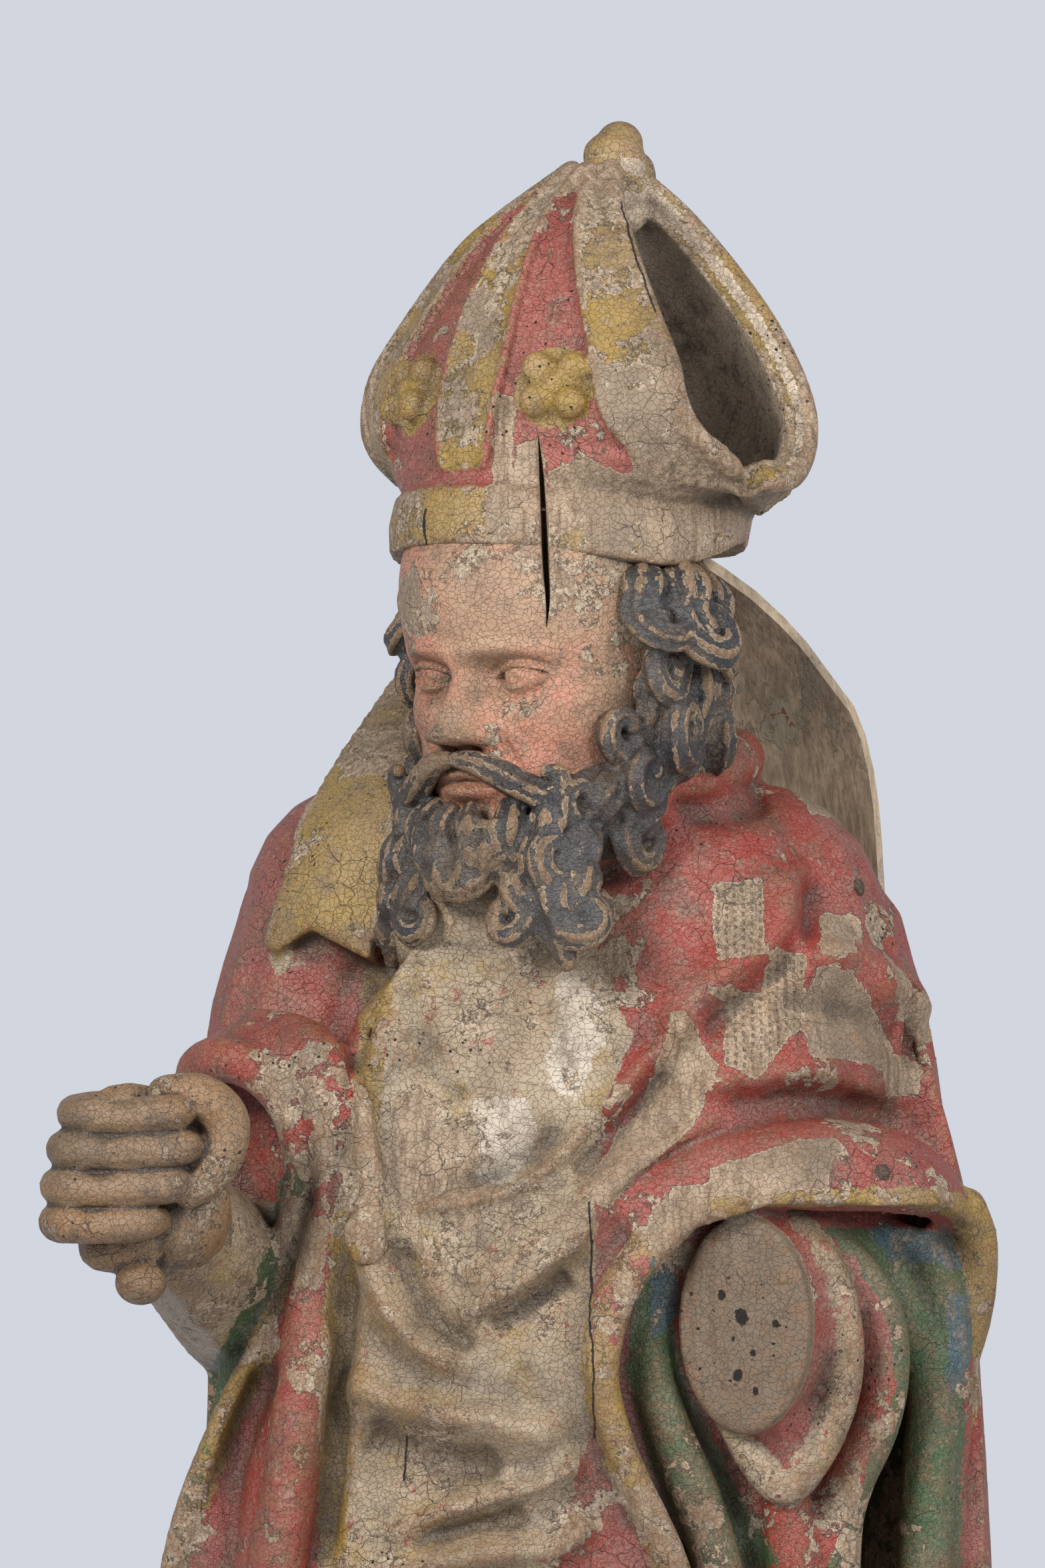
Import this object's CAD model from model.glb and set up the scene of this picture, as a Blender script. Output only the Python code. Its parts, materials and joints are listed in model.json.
"""The looks of the carved and painted wooden bishop saint.

Each skin is the figure's own forms from part.py, fused finer and carved further. Distances to the hems and
outlines are kept on its points, and the materials draw the paint, its cracks and its losses from them.
"""

import math

import bmesh
import bpy
import numpy as np
from mathutils import Matrix, Vector
from mathutils.bvhtree import BVHTree
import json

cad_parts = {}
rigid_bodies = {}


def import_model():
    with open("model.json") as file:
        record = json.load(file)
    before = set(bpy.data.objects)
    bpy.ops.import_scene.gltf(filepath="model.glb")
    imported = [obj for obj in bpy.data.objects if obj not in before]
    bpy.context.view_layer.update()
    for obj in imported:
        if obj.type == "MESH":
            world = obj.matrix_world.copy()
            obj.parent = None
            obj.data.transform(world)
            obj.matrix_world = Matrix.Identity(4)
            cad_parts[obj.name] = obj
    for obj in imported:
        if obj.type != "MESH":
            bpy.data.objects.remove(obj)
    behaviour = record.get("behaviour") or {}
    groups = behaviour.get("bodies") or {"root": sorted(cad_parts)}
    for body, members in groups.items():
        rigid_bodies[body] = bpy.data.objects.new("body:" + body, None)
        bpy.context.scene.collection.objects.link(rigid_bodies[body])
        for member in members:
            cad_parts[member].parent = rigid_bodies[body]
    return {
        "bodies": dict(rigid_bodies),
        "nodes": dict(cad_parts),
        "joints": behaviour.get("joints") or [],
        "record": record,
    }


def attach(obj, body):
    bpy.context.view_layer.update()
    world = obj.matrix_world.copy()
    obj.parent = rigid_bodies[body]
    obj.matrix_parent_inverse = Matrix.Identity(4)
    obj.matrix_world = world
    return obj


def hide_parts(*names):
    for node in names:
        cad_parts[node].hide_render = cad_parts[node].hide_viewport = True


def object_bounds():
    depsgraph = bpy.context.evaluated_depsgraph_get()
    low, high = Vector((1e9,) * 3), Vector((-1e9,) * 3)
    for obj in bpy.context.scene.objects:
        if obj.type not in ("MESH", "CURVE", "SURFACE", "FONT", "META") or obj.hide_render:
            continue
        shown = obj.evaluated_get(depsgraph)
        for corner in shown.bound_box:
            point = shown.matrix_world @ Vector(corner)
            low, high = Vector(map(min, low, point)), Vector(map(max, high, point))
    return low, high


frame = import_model()
CAD_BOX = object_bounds()

# The carver's grid, as in part.py: 1740 units from the soles to the knob of the mitre
UNIT = 0.001
SOLE_Z = 0.0604
EYE_DISTANCE = 4500.0
EYE_X = -38.0
EYE_Z = 1340.0
FRAME_HEIGHT = 0.9408

HEAD_TURN = 38.0
HEAD_NOD = 8.0
MITRE_TILT = 8.0
HEAD_CENTRE = (-24.0, -72.0, 1412.0)
MITRE_CENTRE = (-6.0, -52.0, 1463.0)
FIST_CENTRE = np.array((-254.0, -222.0, 1123.0))
HAND_SCALE = 0.92
WRIST = np.array((-238.0, -168.0, 1085.0))
ELBOW = np.array((-192.0, -40.0, 1024.0))

# Fineness of each skin: voxel in metres and most triangles
FINENESS = {
    "mitre": (0.0022, 120000),
    "face": (0.0011, 120000),
    "hair": (0.0017, 190000),
    "vestment_upper": (0.0032, 190000),
    "vestment_lower": (0.0032, 90000),
    "right_hand": (0.0016, 60000),
}
WAIST_Z = 0.905
BOX_MARGIN = 0.0002
CRACK_BOTTOM = 4.0


def unit(v):
    v = np.asarray(v, float)
    return v / np.linalg.norm(v)


def spline(points, count):
    """Points of a smooth curve through the given ones, with any further columns carried along."""
    p = np.asarray(points, float)
    p = p.reshape(len(p), -1)
    p = np.vstack([2 * p[0] - p[1], p, 2 * p[-1] - p[-2]])
    t = np.linspace(0, len(p) - 3 - 1e-9, count)
    i = t.astype(int)
    f = (t - i)[:, None]
    a, b, c, d = p[i], p[i + 1], p[i + 2], p[i + 3]
    return 0.5 * (2 * b + (c - a) * f + (2 * a - 5 * b + 4 * c - d) * f**2 + (3 * b - a - 3 * c + d) * f**3)


def smoothstep(low, high, value):
    t = np.clip((value - low) / (high - low), 0, 1)
    return t * t * (3 - 2 * t)


class Turned:
    """A turned and tilted frame of reference: forward, left and up, from a centre on the grid."""

    def __init__(self, centre, turn, nod):
        a, e = math.radians(turn), math.radians(nod)
        ahead = np.array([-math.sin(a), -math.cos(a), 0.0])
        zenith = np.array([0.0, 0.0, 1.0])
        self.centre = np.array(centre, float)
        self.forward = ahead * math.cos(e) - zenith * math.sin(e)
        self.up = zenith * math.cos(e) + ahead * math.sin(e)
        self.left = np.cross(self.up, self.forward)

    def at(self, points):
        """Grid points for (forward, left, up) ones, with any further columns, such as a radius, kept."""
        p = np.asarray(points, float)
        placed = self.centre + p[..., :1] * self.forward + p[..., 1:2] * self.left + p[..., 2:3] * self.up
        return np.concatenate([placed, p[..., 3:]], axis=-1)

    def way(self, direction):
        """A (forward, left, up) direction on the grid."""
        return direction[0] * self.forward + direction[1] * self.left + direction[2] * self.up


HEAD = Turned(HEAD_CENTRE, HEAD_TURN, HEAD_NOD)
MITRE = Turned(MITRE_CENTRE, HEAD_TURN, -MITRE_TILT)


class Clay:
    """Closed forms on the carver's grid, heaped into one mesh and then fused."""

    def __init__(self):
        self.bm = bmesh.new()

    def ball(self, centre, radii, frame=None, segments=20):
        turn = Matrix.Identity(4)
        if frame is not None:
            turn = Matrix(np.column_stack([frame.forward, frame.left, frame.up]).tolist()).to_4x4()
            centre = frame.at(centre)
        scale = Matrix.Diagonal((*np.broadcast_to(np.asarray(radii, float), 3), 1.0))
        matrix = Matrix.Translation(Vector(centre)) @ turn @ scale
        rings = segments // 2
        bmesh.ops.create_uvsphere(self.bm, u_segments=segments, v_segments=rings, radius=1, matrix=matrix)

    def loft(self, rings):
        """A closed form through rings of points, with a flat cap at each end."""
        rows = [[self.bm.verts.new(p) for p in ring] for ring in rings]
        sides = len(rows[0])
        for low, high in zip(rows, rows[1:]):
            for k in range(sides):
                self.bm.faces.new((low[k], low[(k + 1) % sides], high[(k + 1) % sides], high[k]))
        self.bm.faces.new(rows[0][::-1])
        self.bm.faces.new(rows[-1])

    def strand(self, path, facing=(0, -1, 0), flat=1.0, sides=12, lobes=0, groove=0.0, cut_end=False):
        """A tube along a smooth path of (x, y, z, radius) with rounded ends.

        flat thins it in the facing direction, and lobes and groove give it a fluted section."""
        path = np.asarray(path, float)
        rings = spline(path, 4 * len(path) - 3)
        centres, radii = rings[:, :3], np.abs(rings[:, 3])
        along = np.gradient(centres, axis=0)
        along /= np.linalg.norm(along, axis=1)[:, None]
        front = np.asarray(facing, float)
        angles = np.linspace(0, 2 * np.pi, sides, endpoint=False)
        swell = 1 + groove * np.cos(lobes * angles)
        offsets = []
        for ahead, radius in zip(along, radii):
            front = unit(front - np.dot(front, ahead) * ahead)
            side = np.cross(ahead, front)
            across = np.outer(np.cos(angles) * swell, side)
            forward = np.outer(np.sin(angles) * swell * flat, front)
            offsets.append(radius * (across + forward))
        loops = [c + o for c, o in zip(centres, offsets)]
        for reach, share in ((0.45, 0.85), (0.8, 0.5)):
            loops.insert(0, centres[0] - reach * radii[0] * flat * along[0] + share * offsets[0])
            if not cut_end:
                loops.append(centres[-1] + reach * radii[-1] * flat * along[-1] + share * offsets[-1])
        self.loft(loops)

    def ribbon(self, rows, thickness, inside):
        """A slab: its front goes through a grid of points, and its back lies towards the inside point."""
        rows = np.asarray(rows, float)
        normal = np.cross(np.gradient(rows, axis=1), np.gradient(rows, axis=0))
        normal /= np.linalg.norm(normal, axis=2)[:, :, None] + 1e-9
        if (normal * (rows - np.asarray(inside, float))).sum() < 0:
            normal = -normal
        back = rows - normal * thickness
        self.loft([np.vstack([f, b[::-1]]) for f, b in zip(rows, back)])

    def as_mesh(self, name):
        """The forms as they are, in metres above the plinth."""
        for v in self.bm.verts:
            v.co = v.co * UNIT + Vector((0, 0, SOLE_Z))
        bmesh.ops.recalc_face_normals(self.bm, faces=self.bm.faces)
        mesh = bpy.data.meshes.new(name)
        self.bm.to_mesh(mesh)
        self.bm.free()
        return mesh

    def fused(self, name, voxel):
        """One closed skin round all the forms."""
        rough = bpy.data.objects.new(name + "_rough", self.as_mesh(name))
        bpy.context.scene.collection.objects.link(rough)
        remesh = rough.modifiers.new("Skin", "REMESH")
        remesh.mode = "VOXEL"
        remesh.voxel_size = voxel
        soft = rough.modifiers.new("Soften", "SMOOTH")
        soft.factor = 0.5
        soft.iterations = 3
        return main_body(baked(rough))


def baked(obj):
    """The object's evaluated mesh. The object itself goes."""
    graph = bpy.context.evaluated_depsgraph_get()
    mesh = bpy.data.meshes.new_from_object(obj.evaluated_get(graph))
    bpy.data.objects.remove(obj)
    return mesh


def ellipse(centre, half, z, turn=0.0, sides=48, power=2.0):
    """A level ring of points. A power over 2 squares it off."""
    a = np.linspace(0, 2 * np.pi, sides, endpoint=False)
    c, s = np.cos(a), np.sin(a)
    x = half[0] * np.sign(c) * np.abs(c) ** (2 / power)
    y = half[1] * np.sign(s) * np.abs(s) ** (2 / power)
    t = math.radians(turn)
    ring = np.column_stack([x * math.cos(t) - y * math.sin(t), x * math.sin(t) + y * math.cos(t), 0 * x])
    return ring + (centre[0], centre[1], z)


# The front drawing: 2.5 of its units to a grid unit, with the eye's own place at its middle
DRAWN_MIDDLE = (784.0, 1176.0)
DRAWN_UNIT = 0.4

# Each fold: its crest's (across, down) points on the front drawing, its half width in grid units, and how far
# it stands out. A height under zero is a groove.
CHEST_FOLDS = (
    (((604, 1440), (612, 1500), (634, 1570), (668, 1622), (712, 1650)), 7, -6),
    (((892, 1668), (835, 1738), (767, 1784), (683, 1806), (610, 1812)), 6, 8),
    (((850, 1680), (800, 1730), (740, 1762), (680, 1770)), 9, -6),
    (((1050, 1519), (960, 1610), (892, 1680)), 9, 10),
    (((1160, 1560), (1004, 1700), (892, 1802), (779, 1892), (690, 1950)), 16, 13),
    (((1010, 1590), (930, 1690), (860, 1775)), 8, -9),
    (((892, 1840), (813, 1906), (745, 1950), (676, 1982)), 6, 8),
    (((860, 1906), (800, 1950), (730, 1996)), 10, -8),
    (((542, 1790), (556, 1880), (586, 1962), (634, 2020), (716, 2064)), 9, 13),
    (((600, 1850), (620, 1930), (664, 1990), (720, 2030)), 9, -8),
    (((506, 2060), (609, 2104), (722, 2130), (866, 2160)), 13, 14),
    (((530, 2150), (640, 2190), (760, 2204)), 16, -13),
    (((564, 2318), (700, 2256), (812, 2222), (880, 2180)), 8, 11),
    (((560, 2372), (722, 2330), (830, 2320), (890, 2270)), 10, 12),
    (((600, 2300), (700, 2292), (800, 2270)), 9, -8),
    (((540, 2490), (660, 2452), (800, 2462), (880, 2400)), 12, 13),
)
SHOULDER_FOLDS = (
    (((1217, 1301), (1224, 1371), (1194, 1434), (1114, 1496), (1034, 1566)), 9, -10),
    (((1179, 1276), (1159, 1401), (1074, 1471), (979, 1561)), 14, 9),
    (((1179, 1426), (1244, 1431), (1334, 1476), (1409, 1536)), 11, 11),
    (((1159, 1496), (1254, 1511), (1354, 1551), (1414, 1601)), 11, -9),
    (((1100, 1640), (1200, 1604), (1300, 1640), (1400, 1710)), 10, 7),
    (((929, 1746), (1029, 1666), (1154, 1646), (1304, 1656), (1417, 1711)), 9, -8),
    (((1004, 1201), (1079, 1221), (1159, 1201)), 8, -7),
)
LEFT_SIDE_FOLDS = (
    (((484, 1941), (452, 2096), (439, 2201), (414, 2401), (399, 2776)), 13, 13),
    (((529, 1876), (512, 2051), (504, 2201), (479, 2376)), 7, -10),
    (((414, 2026), (364, 2151), (339, 2276), (324, 2526)), 9, -11),
    (((559, 1451), (539, 1576), (509, 1726), (499, 1876)), 6, -7),
)
KNEE_FOLD_HEIGHTS = (2526, 2688, 2863, 3051, 3238)
KNEE_FOLDS = tuple(
    (((629 + 15 * k, z - 65), (779, z + 20 + 7 * k), (954, z - 75)), 14 + k, 15)
    for k, z in enumerate(KNEE_FOLD_HEIGHTS)
)


def drawn(points):
    """Grid points for (across, down, y) ones on a front drawing, as the eye sees them.

    Any further columns are kept."""
    p = np.asarray(points, float)
    nearer = 1 + p[..., 2:3] / EYE_DISTANCE
    x = EYE_X + (p[..., :1] - DRAWN_MIDDLE[0]) * DRAWN_UNIT * nearer
    z = EYE_Z + (DRAWN_MIDDLE[1] - p[..., 1:2]) * DRAWN_UNIT * nearer
    return np.concatenate([x, p[..., 2:3], z, p[..., 3:]], axis=-1)


def torso_forms(clay):
    """The trunk and shoulders under the vestment, down to the hips."""
    trunk = (
        (1372, 0, 12, 56, 54),
        (1346, -4, 12, 94, 72),
        (1304, -6, 12, 146, 92),
        (1250, -8, 8, 176, 110),
        (1190, -8, 2, 182, 124),
        (1120, -8, -2, 172, 130),
        (1060, -14, -4, 148, 126),
        (980, -14, -4, 138, 120),
        (900, -12, -4, 138, 120),
    )
    rings = spline([(z, x, y, a, b) for z, x, y, a, b in trunk], 24)
    clay.loft([ellipse((x, y), (a, b), z, turn=-20, power=2.3) for z, x, y, a, b in rings])
    clay.ball((-132, 12, 1262), (74, 78, 80))
    clay.ball((94, 10, 1252), (88, 90, 90))
    clay.ball((116, -10, 1190), (78, 84, 90))
    clay.strand(((-140, 12, 1250, 70), (-166, 6, 1170, 64), (-160, 0, 1100, 50)))
    clay.strand(((126, 14, 1240, 68), (150, 16, 1170, 62), (168, 12, 1110, 52)))
    clay.ball((32, -78, 1232), (58, 40, 56))
    clay.ball((-60, -84, 1150), (92, 56, 96))
    clay.ball((-60, -76, 1270), (66, 44, 60))


def collar_forms(clay):
    """The neck, and the amice rolled round it."""
    clay.strand(((-6, 8, 1290, 60), (-14, -16, 1360, 56), (-24, -44, 1410, 54)))
    clay.strand(
        (
            (-30, -112, 1276, 10),
            (14, -98, 1312, 15),
            (52, -70, 1336, 18),
            (84, -20, 1352, 18),
            (86, 36, 1356, 19),
            (40, 78, 1352, 19),
            (-34, 80, 1352, 19),
            (-86, 44, 1350, 19),
            (-106, -14, 1336, 18),
            (-106, -70, 1310, 15),
            (-96, -104, 1276, 10),
        )
    )


# Edges and rolls of cloth on the front drawing, as (across, down, y, radius)
SLEEVE_LIP = (
    (330, 1680, -20, 8), (300, 1640, -46, 11), (296, 1606, -76, 13), (330, 1588, -98, 14),
    (388, 1606, -114, 14), (434, 1660, -124, 13), (453, 1730, -128, 12), (447, 1800, -128, 11),
    (434, 1865, -126, 10), (427, 1930, -125, 9), (410, 1988, -126, 9), (382, 2043, -124, 9),
    (350, 2103, -120, 9), (322, 2168, -114, 9), (295, 2234, -106, 9), (273, 2304, -98, 9),
    (258, 2380, -92, 9), (246, 2480, -88, 8), (240, 2620, -84, 7),
)
SLEEVE_ROLL = (
    (318, 1574, -40, 8), (372, 1560, -78, 12), (432, 1580, -108, 14), (478, 1630, -128, 15),
    (498, 1690, -138, 15), (505, 1750, -142, 14), (503, 1805, -143, 13), (490, 1855, -141, 13),
    (474, 1910, -140, 13), (463, 1970, -141, 14), (460, 2040, -142, 15), (456, 2120, -142, 16),
    (446, 2200, -140, 16), (430, 2280, -138, 16), (416, 2350, -136, 16), (404, 2460, -132, 14),
    (396, 2600, -128, 10),
)
SLEEVE_INNER_ROLL = (
    (380, 1530, -64, 8), (456, 1552, -104, 11), (508, 1604, -130, 12), (532, 1664, -144, 11),
    (546, 1724, -150, 10), (556, 1790, -152, 8), (560, 1870, -154, 5),
)
# Rows across the lining that the lip turns out, as (across, down, y)
TURNED_LINING = (
    ((376, 1800, -82), (410, 1800, -100), (440, 1800, -118)),
    ((362, 1860, -86), (396, 1860, -102), (428, 1860, -116)),
    ((346, 1930, -90), (384, 1930, -104), (420, 1930, -116)),
    ((332, 1990, -92), (372, 1990, -106), (408, 1985, -116)),
    ((324, 2050, -94), (354, 2048, -106), (384, 2040, -116)),
    ((316, 2105, -96), (336, 2104, -104), (352, 2100, -112)),
    ((304, 2160, -96), (316, 2164, -102), (326, 2166, -108)),
)
# The sleeve's mouth round the right forearm: where it is, the way it faces, and (depth, radius) of its rings
MOUTH_CENTRE = (-190, -84, 1112)
MOUTH_FACING = unit((-0.70, -0.68, 0.20))
MOUTH_RINGS = ((-84, 54), (-40, 66), (-10, 70), (0, 66), (-6, 58), (-34, 52), (-64, 40))


def right_sleeve_forms(clay):
    """The vestment's edge rolled back over the right forearm, two folds round it, and the alb's sleeve."""
    side = unit(np.cross((0, 0, 1), MOUTH_FACING))
    rise = np.cross(MOUTH_FACING, side)
    a = np.linspace(0, 2 * np.pi, 32, endpoint=False)
    loops = []
    for depth, radius in MOUTH_RINGS:
        round_it = radius * (np.outer(np.cos(a), side) + 1.15 * np.outer(np.sin(a), rise))
        loops.append(np.array(MOUTH_CENTRE) + MOUTH_FACING * depth + round_it)
    clay.loft(loops)
    for edge in (SLEEVE_LIP, SLEEVE_ROLL, SLEEVE_INNER_ROLL):
        clay.strand(drawn(edge))
    half_way = 0.5 * (ELBOW + WRIST)
    forearm = ((*(ELBOW + (20, 30, -10)), 46), (*ELBOW, 47), (*half_way, 43), (*(WRIST + (-3, 2, 2)), 37))
    clay.strand(forearm, lobes=5, groove=0.06)
    clay.ribbon(drawn(TURNED_LINING), 14, inside=(-60, 0, 1000))


# Rows along the edge turned back over the left forearm, as (across, down, y)
TURNED_BAND = (
    (
        (915, 1800, -120), (980, 1745, -122), (1065, 1700, -116), (1172, 1676, -104), (1272, 1678, -90),
        (1364, 1700, -68), (1424, 1746, -40), (1450, 1800, -14),
    ),
    (
        (925, 1806, -152), (988, 1762, -152), (1070, 1718, -148), (1172, 1692, -138), (1272, 1694, -124),
        (1364, 1714, -100), (1428, 1758, -68), (1460, 1810, -38),
    ),
    (
        (940, 1838, -162), (1000, 1795, -165), (1077, 1758, -163), (1172, 1738, -155),
        (1280, 1740, -141), (1374, 1758, -117), (1440, 1790, -83), (1468, 1830, -50),
    ),
    (
        (962, 1880, -163), (1016, 1832, -168), (1085, 1808, -168), (1172, 1806, -162),
        (1285, 1810, -148), (1382, 1808, -124), (1442, 1814, -90), (1470, 1848, -56),
    ),
)
SIDE_HEM = (
    (1450, 1808, -56, 12), (1466, 1868, -46, 13), (1464, 1964, -38, 11), (1444, 2055, -32, 9),
    (1432, 2127, -30, 9), (1419, 2200, -28, 9), (1412, 2271, -28, 9), (1422, 2340, -26, 9),
    (1430, 2440, -24, 8),
)
INNER_HEM = (
    (1030, 1822, -156, 10), (985, 1862, -160, 12), (948, 1905, -164, 12), (918, 1960, -167, 12),
    (904, 2030, -168, 11), (906, 2085, -168, 10), (923, 2150, -167, 10), (948, 2215, -164, 10),
    (976, 2272, -161, 10), (1006, 2338, -157, 10), (1036, 2430, -152, 9), (1060, 2560, -146, 8),
)
# The alb's sleeve round the stump, and the vestment's sleeve round that
SLEEVE_RIM = (
    (1100, 1822, -122, 5), (1180, 1842, -122, 8), (1240, 1900, -122, 11), (1264, 1985, -120, 12),
    (1266, 2060, -118, 12), (1248, 2130, -120, 12), (1216, 2192, -124, 12), (1176, 2230, -126, 12),
    (1128, 2192, -126, 9), (1086, 2128, -126, 6),
)
OUTER_SLEEVE = (
    (1180, 1836, -104, 6), (1250, 1872, -104, 12), (1300, 1930, -98, 14), (1326, 2000, -92, 15),
    (1326, 2080, -90, 15), (1308, 2150, -92, 15), (1280, 2210, -96, 15), (1258, 2270, -98, 16),
    (1250, 2348, -98, 17), (1252, 2440, -96, 18), (1256, 2600, -92, 16), (1258, 2800, -88, 12),
)
SLEEVE_TAIL = (
    (1176, 2215, -110, 12), (1186, 2300, -110, 16), (1196, 2360, -108, 18), (1204, 2500, -102, 18),
    (1208, 2700, -96, 14),
)
# The lost forearm's stump on the grid, as (x, y, z, radius), and how much wider than high it is
STUMP = (
    (168, 30, 1056, 54), (146, -30, 1044, 52), (118, -84, 1034, 47), (98, -122, 1027, 42),
    (90, -150, 1026, 39),
)
STUMP_FLATNESS = 1.62
# The wood left below it, on the front drawing
STUMP_FOOT = ((1140, 2060, -108, 34), (1164, 2130, -108, 30), (1178, 2190, -110, 20), (1180, 2236, -112, 8))


def left_arm_forms(clay):
    """The vestment's turned edge over the left forearm, its sleeves, and the lost forearm's stump."""
    rows = np.array([spline(row, 22) for row in drawn(TURNED_BAND)])
    rows = np.array([spline(rows[:, k], 9) for k in range(22)]).transpose(1, 0, 2)
    clay.ribbon(rows, 24, inside=(120, 60, 1090))
    for edge in (SIDE_HEM, INNER_HEM, SLEEVE_RIM, OUTER_SLEEVE, SLEEVE_TAIL):
        clay.strand(drawn(edge))
    clay.strand(STUMP, facing=(0, 0, 1), flat=STUMP_FLATNESS, sides=28, cut_end=True)
    clay.strand(drawn(STUMP_FOOT))
    clay.ball((112, -60, 980), (58, 50, 90))
    clay.ball((112, -66, 900), (46, 38, 80))


LINING_FOLDS = (
    (
        (1002, 1880, -118, 6), (978, 1960, -122, 10), (978, 2060, -126, 13), (1006, 2150, -127, 14),
        (1042, 2240, -126, 15), (1074, 2340, -124, 15), (1092, 2450, -120, 14), (1102, 2600, -114, 12),
    ),
    (
        (1290, 1850, -66, 8), (1328, 1900, -62, 12), (1356, 1975, -56, 14), (1388, 2040, -50, 16),
        (1402, 2110, -50, 17), (1396, 2180, -52, 17), (1390, 2270, -52, 17), (1388, 2400, -50, 17),
        (1390, 2600, -46, 12),
    ),
    (
        (1330, 1840, -66, 6), (1392, 1878, -58, 11), (1418, 1950, -50, 13), (1428, 2040, -46, 13),
        (1430, 2130, -44, 12), (1424, 2230, -40, 11), (1424, 2350, -38, 10),
    ),
    (
        (1420, 1826, -44, 12), (1438, 1890, -32, 15), (1440, 1980, -26, 15), (1430, 2080, -22, 13),
        (1420, 2200, -20, 12), (1416, 2360, -18, 10),
    ),
)


def lining_forms(clay):
    """The folds of the lining inside the vestment, either side of the stump."""
    for fold in LINING_FOLDS:
        clay.strand(drawn(fold))


# The front of the vestment, by height: where its two edges lie across
FRONT_EDGES = (
    (1250, -100, 60), (1200, -132, 60), (1150, -150, 50), (1110, -160, 36), (1070, -172, 26),
    (1046, -177, 20), (1024, -184, 18), (1000, -196, 18), (978, -207, 22), (950, -219, 30),
    (920, -231, 42), (870, -243, 60), (780, -250, 74), (690, -240, 80), (600, -208, 72), (510, -164, 46),
    (450, -114, 10), (425, -84, -26),
)
FRONT_DEPTHS = ((430, 160), (700, 168), (1000, 168), (1080, 164), (1150, 150), (1200, 136), (1250, 112))
FRONT_THICKNESS = 52
# The back of the vestment, by height: the degrees it goes round from and to, its half width and half depth
BACK_SWEEP = (
    (1330, 10, 170, 100, 74), (1290, 4, 176, 152, 104), (1230, 0, 180, 186, 132),
    (1160, -4, 184, 208, 156), (1080, -6, 186, 226, 172), (980, -6, 186, 230, 182),
    (800, -8, 184, 236, 188), (600, -2, 176, 240, 190), (470, 14, 160, 240, 188),
    (400, 40, 138, 236, 184),
)
BACK_THICKNESS = 22


def vestment_forms(clay):
    """The chasuble: a long front with a rounded end, and a back that wraps the sides."""
    heights, depths = zip(*FRONT_DEPTHS)
    rows = []
    for z, low, high in spline(FRONT_EDGES, 40):
        x = np.linspace(low, high, 20)
        fall_back = np.where(x < -50, 72 * ((x + 50) / 190) ** 2, 14 * ((x + 50) / 100) ** 2)
        rows.append(np.column_stack([x, fall_back - np.interp(z, heights, depths), np.full(20, z)]))
    clay.ribbon(rows, FRONT_THICKNESS, inside=(-50, 200, 900))

    rows = []
    for z, low, high, half_width, half_depth in spline(BACK_SWEEP, 30):
        t = np.radians(np.linspace(low, high, 40))
        wave = (5 * np.cos(9 * t) + 3 * np.cos(15 * t + 1)) * smoothstep(1180, 850, z)
        x = (half_width + wave) * np.cos(t) + 2
        y = (half_depth + wave) * np.sin(t) - 14
        rows.append(np.column_stack([x[::-1], y[::-1], np.full(40, z)]))
    clay.ribbon(rows, BACK_THICKNESS, inside=(0, -20, 900))


def alb_forms(clay):
    """The long alb with its pleats, and the tips of two shoes."""
    rings = []
    for z in np.linspace(0, 1000, 40):
        spread = smoothstep(1000, 0, z)
        ring = ellipse((-4, -6), (138 + 50 * spread, 118 + 36 * spread), z, sides=96, power=2.2)
        a = np.linspace(0, 2 * np.pi, 96, endpoint=False)
        pleat = (0.6 * np.cos(13 * a + 0.6) + 0.4 * np.cos(21 * a + 1.7)) * 13 * smoothstep(760, 80, z)
        out = ring - (-4, -6, z)
        rings.append(ring + pleat[:, None] * out / np.linalg.norm(out, axis=1)[:, None])
    clay.loft(rings)
    clay.strand(((60, -70, 760, 60), (70, -98, 560, 58), (66, -88, 420, 52), (62, -60, 200, 40)))
    for x, turn in ((-82, -14), (70, 16)):
        lean = math.sin(math.radians(turn))
        shoe = ((x - 60 * lean, -110, 30, 34), (x, -158, 24, 32), (x + 36 * lean, -186, 17, 22))
        clay.strand(shoe, flat=0.8)


# The right lappet's edges on the front drawing, as (across, down, y), and the heights of its broken end
LAPPET_FAR_EDGE = (
    (590, 1010, 66), (548, 1070, 44), (500, 1140, 12), (462, 1210, -18), (430, 1290, -46),
    (404, 1370, -50), (390, 1432, -46),
)
LAPPET_NEAR_EDGE = (
    (650, 1040, 46), (622, 1100, 10), (598, 1170, -44), (580, 1240, -80), (568, 1310, -84),
    (560, 1380, -88), (552, 1440, -92),
)
BROKEN_END = (6, 0, 4, 15, 14, 8, 5, 2, 0)
RIGHT_LAPPET_THICKNESS = 26


def right_lappet_forms(clay):
    """The mitre's right lappet, laid over the shoulder to the chest, where its end is broken."""
    share = np.linspace(0, 1, len(BROKEN_END))[:, None]
    grid = []
    far_edge, near_edge = spline(drawn(LAPPET_FAR_EDGE), 24), spline(drawn(LAPPET_NEAR_EDGE), 24)
    for k, (far, near) in enumerate(zip(far_edge, near_edge)):
        row = far + share * (near - far) - 5 * np.sin(np.pi * share) * unit((0.3, 0.9, -0.4))
        row[:, 2] += np.array(BROKEN_END) * smoothstep(17, 23, k)
        grid.append(row)
    clay.ribbon(grid, RIGHT_LAPPET_THICKNESS, inside=(-60, 60, 1260))


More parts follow.
